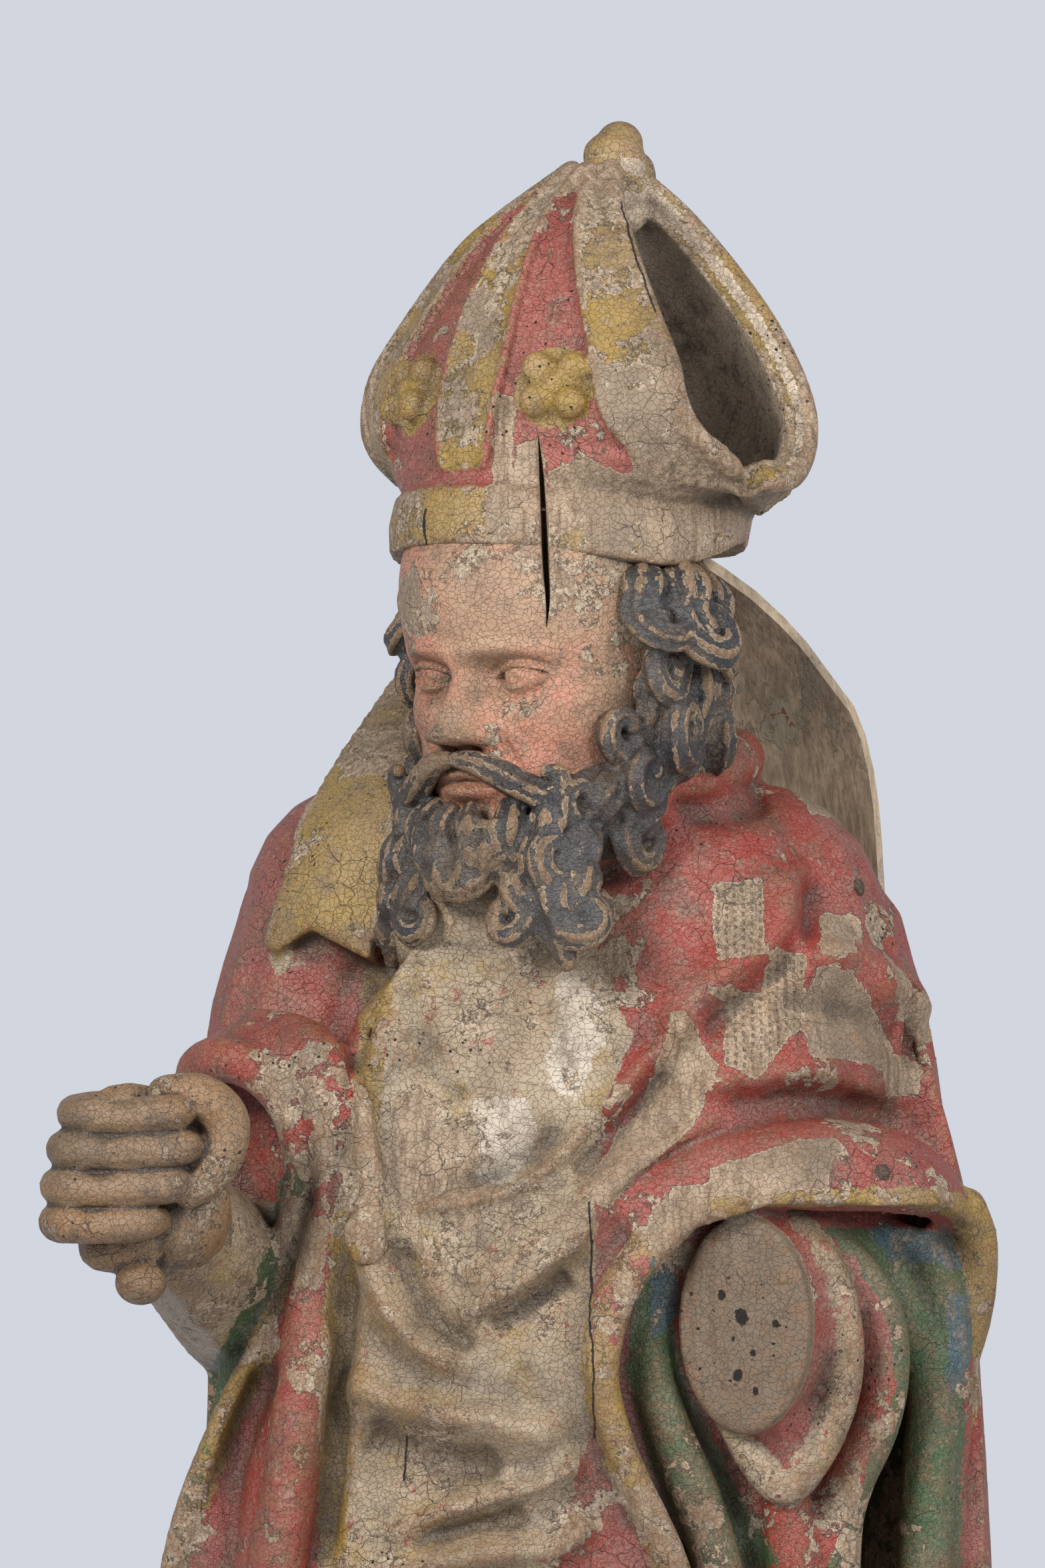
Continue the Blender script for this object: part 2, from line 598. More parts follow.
# The face, by height from the eye line: half width, how far forward the middle lies, and where the side ends
FACE_PROFILE = (
    (-112, 38, 56, 0), (-98, 49, 78, -2), (-86, 56, 84, -6), (-74, 61, 83, -10), (-58, 66, 87, -14),
    (-40, 70, 84, -18), (-20, 74, 81, -20), (0, 77, 78, -22), (18, 78, 86, -24), (44, 77, 91, -24),
    (70, 74, 86, -24), (96, 66, 70, -24),
)
EYE_SPACING = 32.0
EYEBALL = 13.0


def bump(value, centre, width):
    return np.exp(-(((value - centre) / width) ** 2))


def face_relief(l, u):
    """What the features add to the face's front, on even proportions.

    There are three equal bands from hairline to chin, and the eyes are half way down the head."""
    side = np.abs(l)
    brow_line = 17 - 0.006 * (side - 26) ** 2
    relief = 5.5 * bump(u, brow_line, 6.5) * bump(side, 30, 24)
    relief -= 11 * bump(side, 31, 17) * bump(u, 1, 12)
    relief -= 3.5 * bump(side, 16, 7) * bump(u, 2, 9)
    bridge = np.interp(u, (-42, -39, -34, -29, -22, -10, 2, 12, 24), (0, 5, 21, 25, 22, 15.5, 8, 3.5, 0))
    width = np.interp(u, (-40, -30, -20, -8, 6, 20), (12, 12.5, 9.5, 8, 8, 13))
    relief += bridge / (1 + (side / width) ** 4)
    relief += 13 * bump(side, 14.5, 6) * bump(u, -31, 6.5)
    relief -= 9 * bump(side, 8, 3.4) * bump(u, -39.5, 3)
    relief -= 2 * bump(l, 0, 3.5) * bump(u, -47, 6)
    relief += 5.5 * bump(u, -53.5 - 0.006 * l**2, 4.6) * bump(side / 25, 0, 1) ** 2
    relief += 6.5 * bump(u, -65.5, 5.2) * bump(side / 21, 0, 1) ** 2
    relief -= 6.5 * bump(u, -59.5 - 0.004 * l**2 + 0.8 * bump(l, 0, 5), 1.9) * bump(side / 27, 0, 1) ** 2
    relief -= 3.5 * bump(u, -75, 4.5) * bump(l, 0, 17)
    relief += 6 * bump(u, -88, 11) * bump(l, 0, 19)
    relief += 7 * bump(side, 45, 17) * bump(u, -20, 14)
    fold = 21 + np.clip(-26 - u, 0, 40) * 0.42
    relief -= 2.6 * bump(side, fold, 3.2) * smoothstep(-24, -32, u) * smoothstep(-62, -50, u)
    return relief


def face_eye(l, u, forward):
    """The face's front with the eyeballs set in, between a heavier upper lid and a thin lower one."""
    across = (np.abs(l) - EYE_SPACING) / 15.5
    tilt = 1.2 * across
    arch = np.clip(1 - across**2, 0, None)
    upper, lower = 6.4 * arch**0.75 + tilt, -4.8 * arch**0.9 + tilt
    middle = 60.0
    reach = (np.abs(l) - EYE_SPACING) ** 2 + u**2
    ball = middle + np.sqrt(np.clip(EYEBALL**2 - reach, 0, None))
    over_ball = middle + np.sqrt(np.clip((EYEBALL + 2.2) ** 2 - reach, 0, None))
    near_eye = reach < (EYEBALL + 2.1) ** 2
    lidded = np.where(near_eye, np.maximum(forward, over_ball), forward)
    opening = (np.abs(across) < 1) & (u < upper) & (u > lower)
    iris = 0.8 * bump(np.sqrt(reach), 5.8, 0.9) + 1.6 * bump(np.sqrt(reach), 0, 1.9)
    lidded = np.where(opening & near_eye, np.minimum(ball - iris, lidded), lidded)
    on_lid = ~opening & (np.abs(across) < 1.12)
    lidded += np.where(on_lid, 1.5 * bump(u, upper + 1.3, 1.4) + 1.0 * bump(u, lower - 1.2, 1.3), 0)
    crease = 1.5 * bump(u, upper + 5.4, 1.3) + 0.9 * bump(u, lower - 5.2, 1.5)
    return lidded - np.where(np.abs(across) < 1.15, crease, 0)


def face_rings(step):
    """Level rings round the face, from the beard up to under the mitre, with points about step apart."""
    heights = np.arange(-112, 96, step)
    table = spline(FACE_PROFILE, 80)
    around = np.radians(np.linspace(-90, 90, int(230 / step)))
    rings = []
    for u in heights:
        half, front, back = (np.interp(u, table[:, 0], table[:, k]) for k in (1, 2, 3))
        l = half * np.sin(around)
        plain = back + (front - back) * np.cos(around) ** 0.72
        forward = face_eye(l, u, plain + face_relief(l, u) * np.cos(around) ** 0.4)
        ring = np.column_stack([forward, l, np.full(len(l), u)])
        behind = np.array(((back - 30, 0.7 * half, u), (back - 30, -0.7 * half, u)))
        rings.append(HEAD.at(np.vstack([ring, behind])))
    return rings


def lock(clay, root, tip, bow, width, hand, turns=0.9, side=1):
    """A grooved lock of hair from root to tip, bowed sideways, that ends in a curl, in the head's frame."""
    root, tip, bow = (np.array(p, float) * (1, side, 1) for p in (root, tip, bow))
    out = unit(0.5 * (root + tip) - np.array((10, 0, -60)))
    run = unit(tip - root)
    out = unit(out - np.dot(out, run) * run)
    across = np.cross(run, out) * hand * side
    s = np.linspace(0, 1, 5)[:, None]
    stem = root + s * (tip - root) + bow * 4 * s * (1 - s)
    turn = np.linspace(0, 1, 8)[1:, None]
    angle = 2 * np.pi * turns * turn
    size = 1.25 * width * (1 - 0.62 * turn)
    centre = tip + across * 1.25 * width
    curl = centre + size * (np.sin(angle) * run - np.cos(angle) * across) + out * width * 0.55 * turn
    stem_radii = np.interp(s[:, 0], (0, 0.5, 1), (0.72, 1.0, 0.86))
    radii = width * np.concatenate([stem_radii, 0.80 - 0.34 * turn[:, 0]])
    path = np.column_stack([HEAD.at(np.vstack([stem, curl])), radii])
    clay.strand(path, facing=HEAD.way(out), flat=0.85, sides=24, lobes=6, groove=0.15)


# Locks, as root, tip, sideways bow, width and the way they curl. Places are for the figure's left side.
TEMPLE_LOCKS = (
    ((-8, 70, 52), (16, 84, 30), (4, 6, 4), 13, -1),
    ((-30, 76, 50), (-8, 96, 22), (0, 8, 4), 15, -1),
    ((-52, 70, 44), (-36, 92, 12), (-2, 8, 2), 15, 1),
    ((-66, 58, 34), (-62, 78, -2), (-4, 6, 0), 14, 1),
    ((-14, 80, 14), (-8, 88, -10), (2, 4, 0), 12, 1),
)
NAPE_LOCKS = (
    ((-30, 78, 8), (-22, 82, -44), (-8, 4, 0), 15, 1),
    ((-50, 70, 4), (-46, 74, -50), (-8, 6, 0), 15, -1),
    ((-70, 56, 2), (-68, 60, -52), (-8, 6, 0), 14, 1),
)
CHEEK_LOCKS = (
    ((-4, 77, 16), (6, 76, -16), (-6, 3, 0), 10, -1),
    ((0, 76, -14), (16, 74, -44), (-6, 4, 0), 12, 1),
    ((12, 72, -40), (30, 70, -68), (-4, 5, 0), 13, -1),
    ((-22, 74, -14), (-8, 78, -46), (-8, 6, 0), 13, -1),
    ((-10, 75, -40), (8, 77, -72), (-6, 5, 0), 13, 1),
    ((8, 70, -66), (28, 70, -94), (-4, 5, 0), 13, -1),
    ((28, 66, -62), (50, 62, -84), (4, 6, 0), 12, 1),
)
CHIN_LOCKS = (
    ((92, 7, -75), (97, 9, -92), (4, 2, 0), 9, -1),
    ((80, 27, -75), (89, 29, -95), (5, 4, 0), 11, 1),
    ((64, 46, -72), (76, 48, -94), (5, 6, 0), 12, -1),
    ((88, 15, -90), (97, 17, -108), (6, 3, 0), 12, 1),
    ((74, 40, -92), (87, 44, -113), (6, 5, 0), 13, -1),
    ((50, 56, -88), (68, 60, -114), (4, 6, 0), 13, 1),
)
FORK_LOCKS = (
    ((84, 34, -108), (94, 46, -132), (6, -2, 0), 11, 1),
    ((74, 52, -110), (88, 60, -138), (8, 2, 0), 12, -1),
    ((58, 60, -108), (76, 68, -128), (4, 6, 0), 11, -1),
)
# The beard's two points and the moustache's near half, as (forward, left, up, radius)
BEARD_POINT = ((60, 46, -98, 19), (76, 54, -120, 18), (86, 60, -142, 13), (88, 65, -166, 5))
MOUSTACHE = (
    (96, 3, -45, 5), (94, 13, -47, 7), (89, 25, -53, 8.5), (81, 39, -63, 9), (75, 51, -69, 8.5),
    (73, 60, -63, 7), (75, 60, -55, 5), (79, 54, -54, 4),
)


def hair_forms(clay):
    """Rolled curls at the temples, and grooved locks down to the nape."""
    for side in (-1, 1):
        for root, tip, bow, width, hand in TEMPLE_LOCKS + NAPE_LOCKS:
            lock(clay, root, tip, bow, width, hand, turns=1.1, side=side)
        clay.ball((-34, 60 * side, 12), (46, 24, 44), frame=HEAD)
    for k in range(7):
        l = -48 + 16 * k
        f = -92 - 10 * math.cos(l / 40)
        path = ((f + 12, l, 40, 12), (f, l, 5, 13), (f + 4, l * 1.05, -35, 13), (f + 14, l * 1.1, -66, 10))
        clay.strand(HEAD.at(path), lobes=4, groove=0.1, sides=16)


def beard_forms(clay):
    """A moustache, locks down both cheeks, and a full beard that parts below in two points."""
    for side in (-1, 1):
        for path in (MOUSTACHE, BEARD_POINT):
            mirrored = np.array(path, float) * (1, side, 1, 1)
            clay.strand(HEAD.at(mirrored), facing=HEAD.forward, sides=24, lobes=6, groove=0.12)
        for root, tip, bow, width, hand in CHEEK_LOCKS + CHIN_LOCKS + FORK_LOCKS:
            lock(clay, root, tip, bow, width, hand, side=side)
        clay.ball((20, 42 * side, -80), (46, 32, 36), frame=HEAD)
    clay.ball((54, 0, -98), (34, 48, 24), frame=HEAD)
    clay.ball((24, 0, -88), (52, 60, 40), frame=HEAD)


# The horns of the mitre, by height over the brim: half width, how far forward their edge and their middle lie
FRONT_HORN = (
    (46, 114, 0, 112), (58, 124, 14, 114), (70, 121, 46, 114), (86, 116, 62, 113), (113, 108, 66, 107),
    (150, 84, 63, 96), (186, 60, 56, 80), (210, 40, 43, 62), (228, 25, 29, 44), (242, 14, 18, 28),
)
BACK_HORN = (
    (46, 114, 0, -113), (56, 124, -12, -114), (66, 123, -42, -114), (92, 116, -60, -110),
    (117, 108, -62, -104), (152, 88, -58, -92), (186, 61, -51, -74), (210, 40, -43, -56),
    (228, 23, -33, -42), (240, 12, -18, -26),
)
HORN_THICKNESS = 14
# The raised bands of each horn, as what share of its half width they run between at a share of its height
HORN_BANDS = (
    (lambda v: -1, lambda v: -0.74 + 0.2 * v),
    (lambda v: 0.74 - 0.2 * v, lambda v: 1),
    (lambda v: -0.13 - 0.12 * v, lambda v: 0.13 + 0.12 * v),
)
KNOB = ((4, 0, 228, 15), (0, 0, 240, 16), (-3, 0, 254, 20), (-6, 0, 263, 15))
KNOB_FAR_HALF = ((-18, -2, 222, 14), (-22, -2, 238, 16), (-24, -2, 250, 14))


def horn_point(horn, share_up, share_out, lift=0.0):
    """A point (forward, left, up) on a horn's outer face: a share of the way from brim to tip, and from the
    middle out to an edge."""
    table = spline(horn, 64)
    h, half, edge, middle = (np.interp(share_up, np.linspace(0, 1, 64), table[:, k]) for k in range(4))
    round_off = np.abs(share_out) ** 2.2
    sign = 1 if middle > 0 else -1
    bulge = edge + (middle - edge) * (1 - round_off)
    return bulge + sign * lift * (1 - 0.5 * round_off), half * share_out + 0.6 * lift * share_out, h


def horn_rows(horn, shares_up, low, high, count, lift=0.0):
    """Rows of points over a horn between two bounds across it, which may change with height."""
    rows = []
    for v in shares_up:
        row = [horn_point(horn, v, s, lift) for s in np.linspace(low(v), high(v), count)]
        rows.append(MITRE.at(row))
    return rows


# The mitre's drum, as (height, half width, half depth), and how far the hair lifts its lower edge at the back
DRUM = (
    (-6, 72, 84), (0, 90, 104), (0, 104, 122), (17, 106, 124), (34, 104, 121), (36, 99, 116),
    (48, 112, 113), (58, 122, 108), (60, 114, 98), (54, 92, 80), (50, 50, 40),
)
DRUM_BAND_TOP = 36
BRIM_RISE = 30
NEAR_SIDE_DRAW_IN = 0.12


def drum_ring(height, half_width, half_depth):
    """A ring of the drum. Its foot rises towards the back, and draws in on the figure's left."""
    a = np.linspace(0, 2 * np.pi, 48, endpoint=False)
    forward, left = np.sin(a), np.cos(a)
    in_band = smoothstep(DRUM_BAND_TOP + 22, DRUM_BAND_TOP, height)
    rise = BRIM_RISE * smoothstep(0.35, -0.75, forward) * in_band
    narrow = 1 - NEAR_SIDE_DRAW_IN * smoothstep(0.1, 0.9, left) * in_band
    ring = np.column_stack([forward * half_depth * narrow, left * half_width * narrow, height + rise])
    return MITRE.at(ring)


def mitre_forms(clay):
    """The mitre: a drum with a hollow top, two pointed horns whose tips meet, raised bands and a knob."""
    clay.loft([drum_ring(*ring) for ring in DRUM])
    up = np.linspace(0, 1, 20)
    heart = MITRE.at((0, 0, 120))
    for horn in (FRONT_HORN, BACK_HORN):
        clay.ribbon(horn_rows(horn, up, lambda v: -1, lambda v: 1, 19), HORN_THICKNESS, inside=heart)
        for low, high in HORN_BANDS:
            clay.ribbon(horn_rows(horn, up, low, high, 6, lift=5), 10, inside=heart)
            for bound in (low, high):
                bead = [MITRE.at(horn_point(horn, v, bound(v), 5.5)) for v in up]
                clay.strand(np.column_stack([bead, np.full(len(up), 2.6)]), sides=8)
        for side in (-1, 1):
            edge = [MITRE.at(horn_point(horn, v, side * 0.985, 1.0)) for v in np.linspace(0.12, 1, 12)]
            clay.strand(np.column_stack([edge, np.full(12, 7.0)]))
    clay.ball((0, 0, 234), (30, 17, 14), frame=MITRE)
    clay.strand(MITRE.at(KNOB))
    clay.strand(MITRE.at(KNOB_FAR_HALF))
    for side in (-1, 1):
        rosette_forms(clay, side)


def rosette_forms(clay, side):
    """A four-petalled rosette on one field of the mitre's front."""
    middle = MITRE.at(horn_point(FRONT_HORN, 0.37, 0.46 * side))
    rise = unit(MITRE.at(horn_point(FRONT_HORN, 0.45, 0.46 * side)) - middle)
    across = unit(MITRE.at(horn_point(FRONT_HORN, 0.37, 0.56 * side)) - middle)
    out = unit(np.cross(across, rise)) * side
    if np.dot(out, middle - MITRE.at((0, 0, 120))) < 0:
        out = -out
    clay.ball(middle + 4 * out, 7)
    for k in range(4):
        angle = math.radians(45 + 90 * k)
        petal = middle + 15 * (math.cos(angle) * across + math.sin(angle) * rise) + 3 * out
        clay.ball(petal, (10, 7.5, 10), segments=12)


def hand_forms(clay):
    """The closed right fist with a broken stub below it. Its fingers lie across, thumb over the first."""
    lie = unit((1, 0.12, 0.04))
    rise = unit((0.21, -0.02, 0.98))
    near = unit(np.cross(rise, lie))
    if near[1] > 0:
        near = -near

    def at(a, n, v):
        return FIST_CENTRE + HAND_SCALE * (a * lie + n * near + v * rise)

    def roll(*path):
        return [(*at(a, n, v), HAND_SCALE * radius) for a, n, v, radius in path]

    for v, out, reach in ((34, 0, 8), (11.5, 2, 17), (-12, 1, 17), (-35, -3, 5)):
        finger = roll(
            (-34 - out, -26, v, 13),
            (-48 - out, -4, v, 13.5),
            (-42 - out, 17, v + 1, 13.5),
            (-26, 23, v - 1, 11.5),
            (-8, 24, v, 13),
            (reach, 20, v, 12.5),
            (reach + 9, 6, v, 10.5),
        )
        clay.strand(finger, facing=rise, flat=0.93)
    clay.ball(at(-8, -16, 0), (40, 24, 46))
    thumb = (
        (4, 2, 44, 13), (26, 6, 42, 15), (44, 8, 28, 15), (48, 10, 8, 13.5), (40, 12, -10, 13),
        (30, 14, -20, 9),
    )
    clay.strand(roll(*thumb), facing=near)
    clay.ball(at(30, -14, 14), (24, 20, 31))
    clay.ball(at(36, -18, -30), (24, 24, 28))
    clay.ball(at(30, -20, -44), (26, 24, 24))
    clay.strand(roll((10, -18, -50, 24), (-14, -10, -52, 17)))
    clay.ball(at(14, -2, -76), (15, 13, 13))
    heel = (*roll((24, -22, -36, 28)), (*(WRIST + (4, -22, 8)), 29), (*(WRIST + (1, -2, 0)), 30))
    clay.strand(heel, cut_end=True)


def carve(mesh, strokes):
    """Moves the skin in or out along the strokes, as a gouge would, where it faces the eye."""
    count = len(mesh.vertices)
    points = np.empty(count * 3)
    normals = np.empty(count * 3)
    mesh.vertices.foreach_get("co", points)
    mesh.vertex_normals.foreach_get("vector", normals)
    points, normals = points.reshape(-1, 3), normals.reshape(-1, 3)
    grid = (points - (0, 0, SOLE_Z)) / UNIT
    nearer = 1 + grid[:, 1] / EYE_DISTANCE
    across, up = (grid[:, 0] - EYE_X) / nearer, (grid[:, 2] - EYE_Z) / nearer
    seen = np.column_stack([across, -up]) + np.array(DRAWN_MIDDLE) * DRAWN_UNIT
    faces_eye = smoothstep(0.05, 0.45, -normals[:, 1])
    push = np.zeros(count)
    for line, width, height in strokes:
        track = spline(line, 10 * len(line)) * DRAWN_UNIT
        low, high = track.min(0) - 3 * width, track.max(0) + 3 * width
        near = np.flatnonzero(((seen > low) & (seen < high)).all(1) & (faces_eye > 0))
        best = np.full(len(near), 1e9)
        share = np.zeros(len(near))
        for k, (a, b) in enumerate(zip(track, track[1:])):
            t = np.clip(((seen[near] - a) @ (b - a)) / ((b - a) @ (b - a)), 0, 1)
            gap = np.linalg.norm(seen[near] - a - t[:, None] * (b - a), axis=1)
            closer = gap < best
            best[closer], share[closer] = gap[closer], (k + t[closer]) / (len(track) - 1)
        fade = smoothstep(0, 0.14, share) * smoothstep(1, 0.86, share)
        push[near] += height * np.exp(-((best / width) ** 2)) * fade * faces_eye[near]
    points += normals * (push * UNIT)[:, None]
    mesh.vertices.foreach_set("co", points.ravel())
    mesh.update()


# The main drying crack, down the mitre and the forehead, as (across, down, width) on the front drawing
MAIN_SPLIT = ((808, 655, 2), (812, 705, 9), (815, 760, 12), (819, 850, 13), (822, 900, 9), (820, 940, 2))
MAIN_SPLIT_DEPTH = 24.0
CUT_IN_FRONT = 12.0


def split_rows(mesh, line, deepest):
    """Rows of four grid points that narrow from in front of the mesh to the bottom of a crack drawn on it."""
    surface = BVHTree.FromPolygons([v.co for v in mesh.vertices], [p.vertices for p in mesh.polygons])
    line = spline(line, 4 * len(line))
    eye = metres((EYE_X, -EYE_DISTANCE, EYE_Z))
    depths = []
    for across, down, _ in line:
        spot = surface.ray_cast(eye, metres(drawn((across, down, 0.0))) - eye)[0]
        depths.append(np.nan if spot is None else spot.y / UNIT)
    depths = np.array(depths)
    steps = np.arange(len(line))
    met = ~np.isnan(depths)
    depths = np.interp(steps, steps[met], depths[met])
    bottoms = depths + deepest * np.sin(np.pi * np.linspace(0.04, 0.96, len(line))) ** 0.6
    rows = []
    for (across, down, width), front, bottom in zip(line, depths - CUT_IN_FRONT, bottoms):
        corners = ((-0.6, front), (0.6, front), (0.12, bottom), (-0.12, bottom))
        rows.append(drawn([(across + share * width, down, y) for share, y in corners]))
    return rows


def split_mesh(name, rows):
    """The closed wedge through those rows."""
    clay = Clay()
    clay.loft(rows)
    return clay.as_mesh(name)


def metres(point):
    """A grid point as a place in the scene."""
    return Vector(np.asarray(point, float) * UNIT) + Vector((0, 0, SOLE_Z))


CLOTH_FORMS = (
    torso_forms,
    collar_forms,
    right_sleeve_forms,
    left_arm_forms,
    lining_forms,
    vestment_forms,
    alb_forms,
    right_lappet_forms,
)


# Upright drying cracks on the front drawing, as (across, down), and the distance that stands for none
NO_SPLIT = 99.0
MITRE_SPLITS = (((640, 760), (636, 800), (642, 850)), ((930, 300), (952, 380), (985, 470)))
VESTMENT_SPLITS = (((884, 1800), (888, 1880), (886, 1990), (892, 2165)), ((612, 2150), (606, 2230)))

# Painted outlines on the front drawing, as (across, down)
GOLD_FRONT_LEFT = (
    (566, 1470), (560, 1560), (548, 1664), (532, 1760), (518, 1850), (508, 1960), (502, 2100), (500, 2400),
)
GREEN_STRIP = ((440, 1780), (420, 1890), (360, 2020), (318, 2110), (285, 2230), (262, 2340))
GREEN_INSIDE = (
    (1000, 1850), (950, 1950), (940, 2060), (975, 2200), (1030, 2352), (1180, 2352), (1130, 2280),
    (1080, 2180), (1030, 2080), (1012, 1990), (1020, 1900),
)
GREEN_OUTSIDE = (
    (1232, 1840), (1470, 1850), (1490, 1900), (1450, 2080), (1440, 2352), (1240, 2352), (1300, 2200),
    (1345, 2080), (1330, 1980), (1290, 1900),
)
PALE_CHEST = (
    (580, 1400), (620, 1300), (760, 1240), (860, 1300), (905, 1440), (950, 1560), (905, 1670), (890, 1900),
    (893, 2010), (905, 2090), (872, 2200), (826, 2352), (800, 2600), (510, 2600), (504, 2352), (512, 2100),
    (530, 1800), (580, 1560),
)
BLUE_PATCHES = (
    ((1290, 1835), (1420, 1845), (1450, 1905), (1340, 1890)),
    ((972, 1880), (1015, 1870), (1015, 1985), (978, 2010)),
    ((1418, 1940), (1468, 1940), (1452, 2095), (1424, 2085)),
)
CHALKY_PATCHES = (
    ((712, 1650), (792, 1645), (808, 1700), (772, 1775), (708, 1778)),
    ((828, 1445), (905, 1470), (908, 1560), (862, 1650), (806, 1620), (838, 1540)),
)
# The stump's bare face as half sizes in metres, its knots and old peg holes as (across, down, radius in grid
# units), and how far those reach to the front and back of the face, in metres
STUMP_HALF = (0.042, 0.030, 0.066)
KNOTS = (
    (1083, 1943, 2.6), (1112, 1972, 5.0), (1130, 2030, 2.2), (1106, 2062, 3.2), (1163, 1985, 2.2),
    (1134, 2086, 2.4), (1100, 2010, 1.6),
)
KNOT_DEPTH = 0.030
# Where the paint is gone to the wood, and where that wood shows rows of gouge marks
BARE_PATCHES = (
    ((1228, 1365), (1285, 1378), (1288, 1428), (1230, 1428)),
    ((1228, 1450), (1282, 1455), (1334, 1570), (1322, 1598), (1220, 1582), (1209, 1500)),
    ((1014, 1520), (1076, 1596), (1040, 1690), (905, 1806), (872, 1784), (958, 1676)),
    ((1065, 1750), (1180, 1715), (1248, 1712), (1238, 1772), (1150, 1787), (1065, 1792)),
    ((1010, 1776), (1066, 1774), (1052, 1842), (985, 1874), (978, 1850)),
    ((1350, 1490), (1390, 1500), (1404, 1562), (1372, 1562)),
    ((1330, 1586), (1378, 1598), (1378, 1642), (1334, 1642)),
    ((1325, 1190), (1378, 1210), (1384, 1260), (1345, 1240)),
    ((596, 1640), (640, 1650), (660, 1760), (620, 1850), (590, 1800)),
    ((455, 1830), (490, 1840), (480, 1900), (452, 1890)),
    ((1180, 1150), (1230, 1160), (1262, 1230), (1214, 1222)),
)
GOUGED_PATCHES = (
    ((1070, 1322), (1142, 1318), (1150, 1428), (1076, 1440)),
    (
        (1056, 1478), (1090, 1505), (1086, 1595), (1133, 1614), (1196, 1535), (1208, 1432), (1159, 1428),
        (1142, 1490),
    ),
)
MITRE_BARE_PATCHES = (
    (
        (831, 712), (868, 689), (937, 716), (1018, 675), (1039, 689), (1134, 750), (1134, 796), (1046, 790),
        (831, 742),
    ),
    ((780, 668), (807, 664), (806, 736), (768, 742)),
    ((745, 590), (775, 600), (762, 735), (738, 735)),
)
# The distance into an outline that counts for places out of its sight, in grid units
FAR_OUTSIDE = -200.0


def deepest_inside(points, outlines):
    """Signed distance into whichever of the outlines is nearest, in grid units."""
    return np.max([inside(points, outline) for outline in outlines], axis=0) * DRAWN_UNIT


def seen_from_front(grid):
    """Where the front drawing has each point, as (across, down)."""
    nearer = 1 + grid[:, 1] / EYE_DISTANCE
    across = DRAWN_MIDDLE[0] + (grid[:, 0] - EYE_X) / nearer / DRAWN_UNIT
    down = DRAWN_MIDDLE[1] - (grid[:, 2] - EYE_Z) / nearer / DRAWN_UNIT
    return np.column_stack([across, down])


def path_distance(points, path):
    """Each point's distance to a line of points."""
    path = np.asarray(path, float)
    best = np.full(len(points), 1e9)
    for a, b in zip(path, path[1:]):
        along = b - a
        t = np.clip(((points - a) @ along) / (along @ along), 0, 1)
        np.minimum(best, np.linalg.norm(points - a - t[:, None] * along, axis=1), out=best)
    return best


def inside(points, outline):
    """Signed distance into a closed outline, positive inside, in drawing units."""
    ring = np.asarray(outline, float)
    ring = np.vstack([ring, ring[:1]])
    distance = path_distance(points, ring)
    crossings = np.zeros(len(points), int)
    for (ax, ay), (bx, by) in zip(ring, ring[1:]):
        spans = (ay > points[:, 1]) != (by > points[:, 1])
        rise = by - ay if by != ay else 1e-9
        crossings += spans & (points[:, 0] < ax + (points[:, 1] - ay) * (bx - ax) / rise)
    return np.where(crossings % 2 == 1, distance, -distance)


class Skin:
    """A fused skin's points on the grid, and the values that its materials read."""

    def __init__(self, mesh):
        self.mesh = mesh
        count = len(mesh.vertices)
        co, no = np.empty(count * 3), np.empty(count * 3)
        mesh.vertices.foreach_get("co", co)
        mesh.vertex_normals.foreach_get("vector", no)
        self.grid = (co.reshape(-1, 3) - (0, 0, SOLE_Z)) / UNIT
        self.normals = no.reshape(-1, 3)
        self.seen = seen_from_front(self.grid)
        ends = np.empty(len(mesh.edges) * 2, int)
        mesh.edges.foreach_get("vertices", ends)
        self.ends = ends.reshape(-1, 2)

    def keep(self, name, values):
        layer = self.mesh.attributes.new(name, "FLOAT", "POINT")
        layer.data.foreach_set("value", np.asarray(values, np.float32))

    def averaged(self, values, rounds):
        """The values smoothed over the skin."""
        a, b = self.ends.T
        count = len(values)
        links = np.bincount(a, minlength=count) + np.bincount(b, minlength=count)
        for _ in range(rounds):
            total = np.column_stack(
                [
                    np.bincount(a, weights=values[b, k], minlength=count)
                    + np.bincount(b, weights=values[a, k], minlength=count)
                    for k in range(values.shape[1])
                ]
            )
            values = 0.4 * values + 0.6 * total / np.maximum(links, 1)[:, None]
        return values

    def split(self, lines):
        """Signed distance across to the nearest of the upright cracks, given as (across, down) lines."""
        across, down = self.seen.T
        front = self.normals[:, 1] < 0.2
        nearest = np.full(len(self.seen), NO_SPLIT)
        for line in lines:
            line = np.asarray(line, float)
            off = DRAWN_UNIT * (across - np.interp(down, line[:, 1], line[:, 0]))
            beside = (down > line[0, 1]) & (down < line[-1, 1]) & front
            nearest = np.where(beside & (np.abs(off) < np.abs(nearest)), off, nearest)
        return nearest

    def in_crack(self, rows):
        """True for the points at the bottom of a crack cut along those rows."""
        return path_distance(self.grid, np.array(rows)[:, 2:].mean(1)) < CRACK_BOTTOM

    def keep_relief(self):
        """How far each point stands out from its surroundings, in grid units, closely and widely."""
        near = self.averaged(self.grid, 8)
        wide = self.averaged(near, 40)
        self.keep("ridge", ((self.grid - near) * self.normals).sum(1))
        self.keep("hollow", ((wide - self.grid) * self.normals).sum(1))


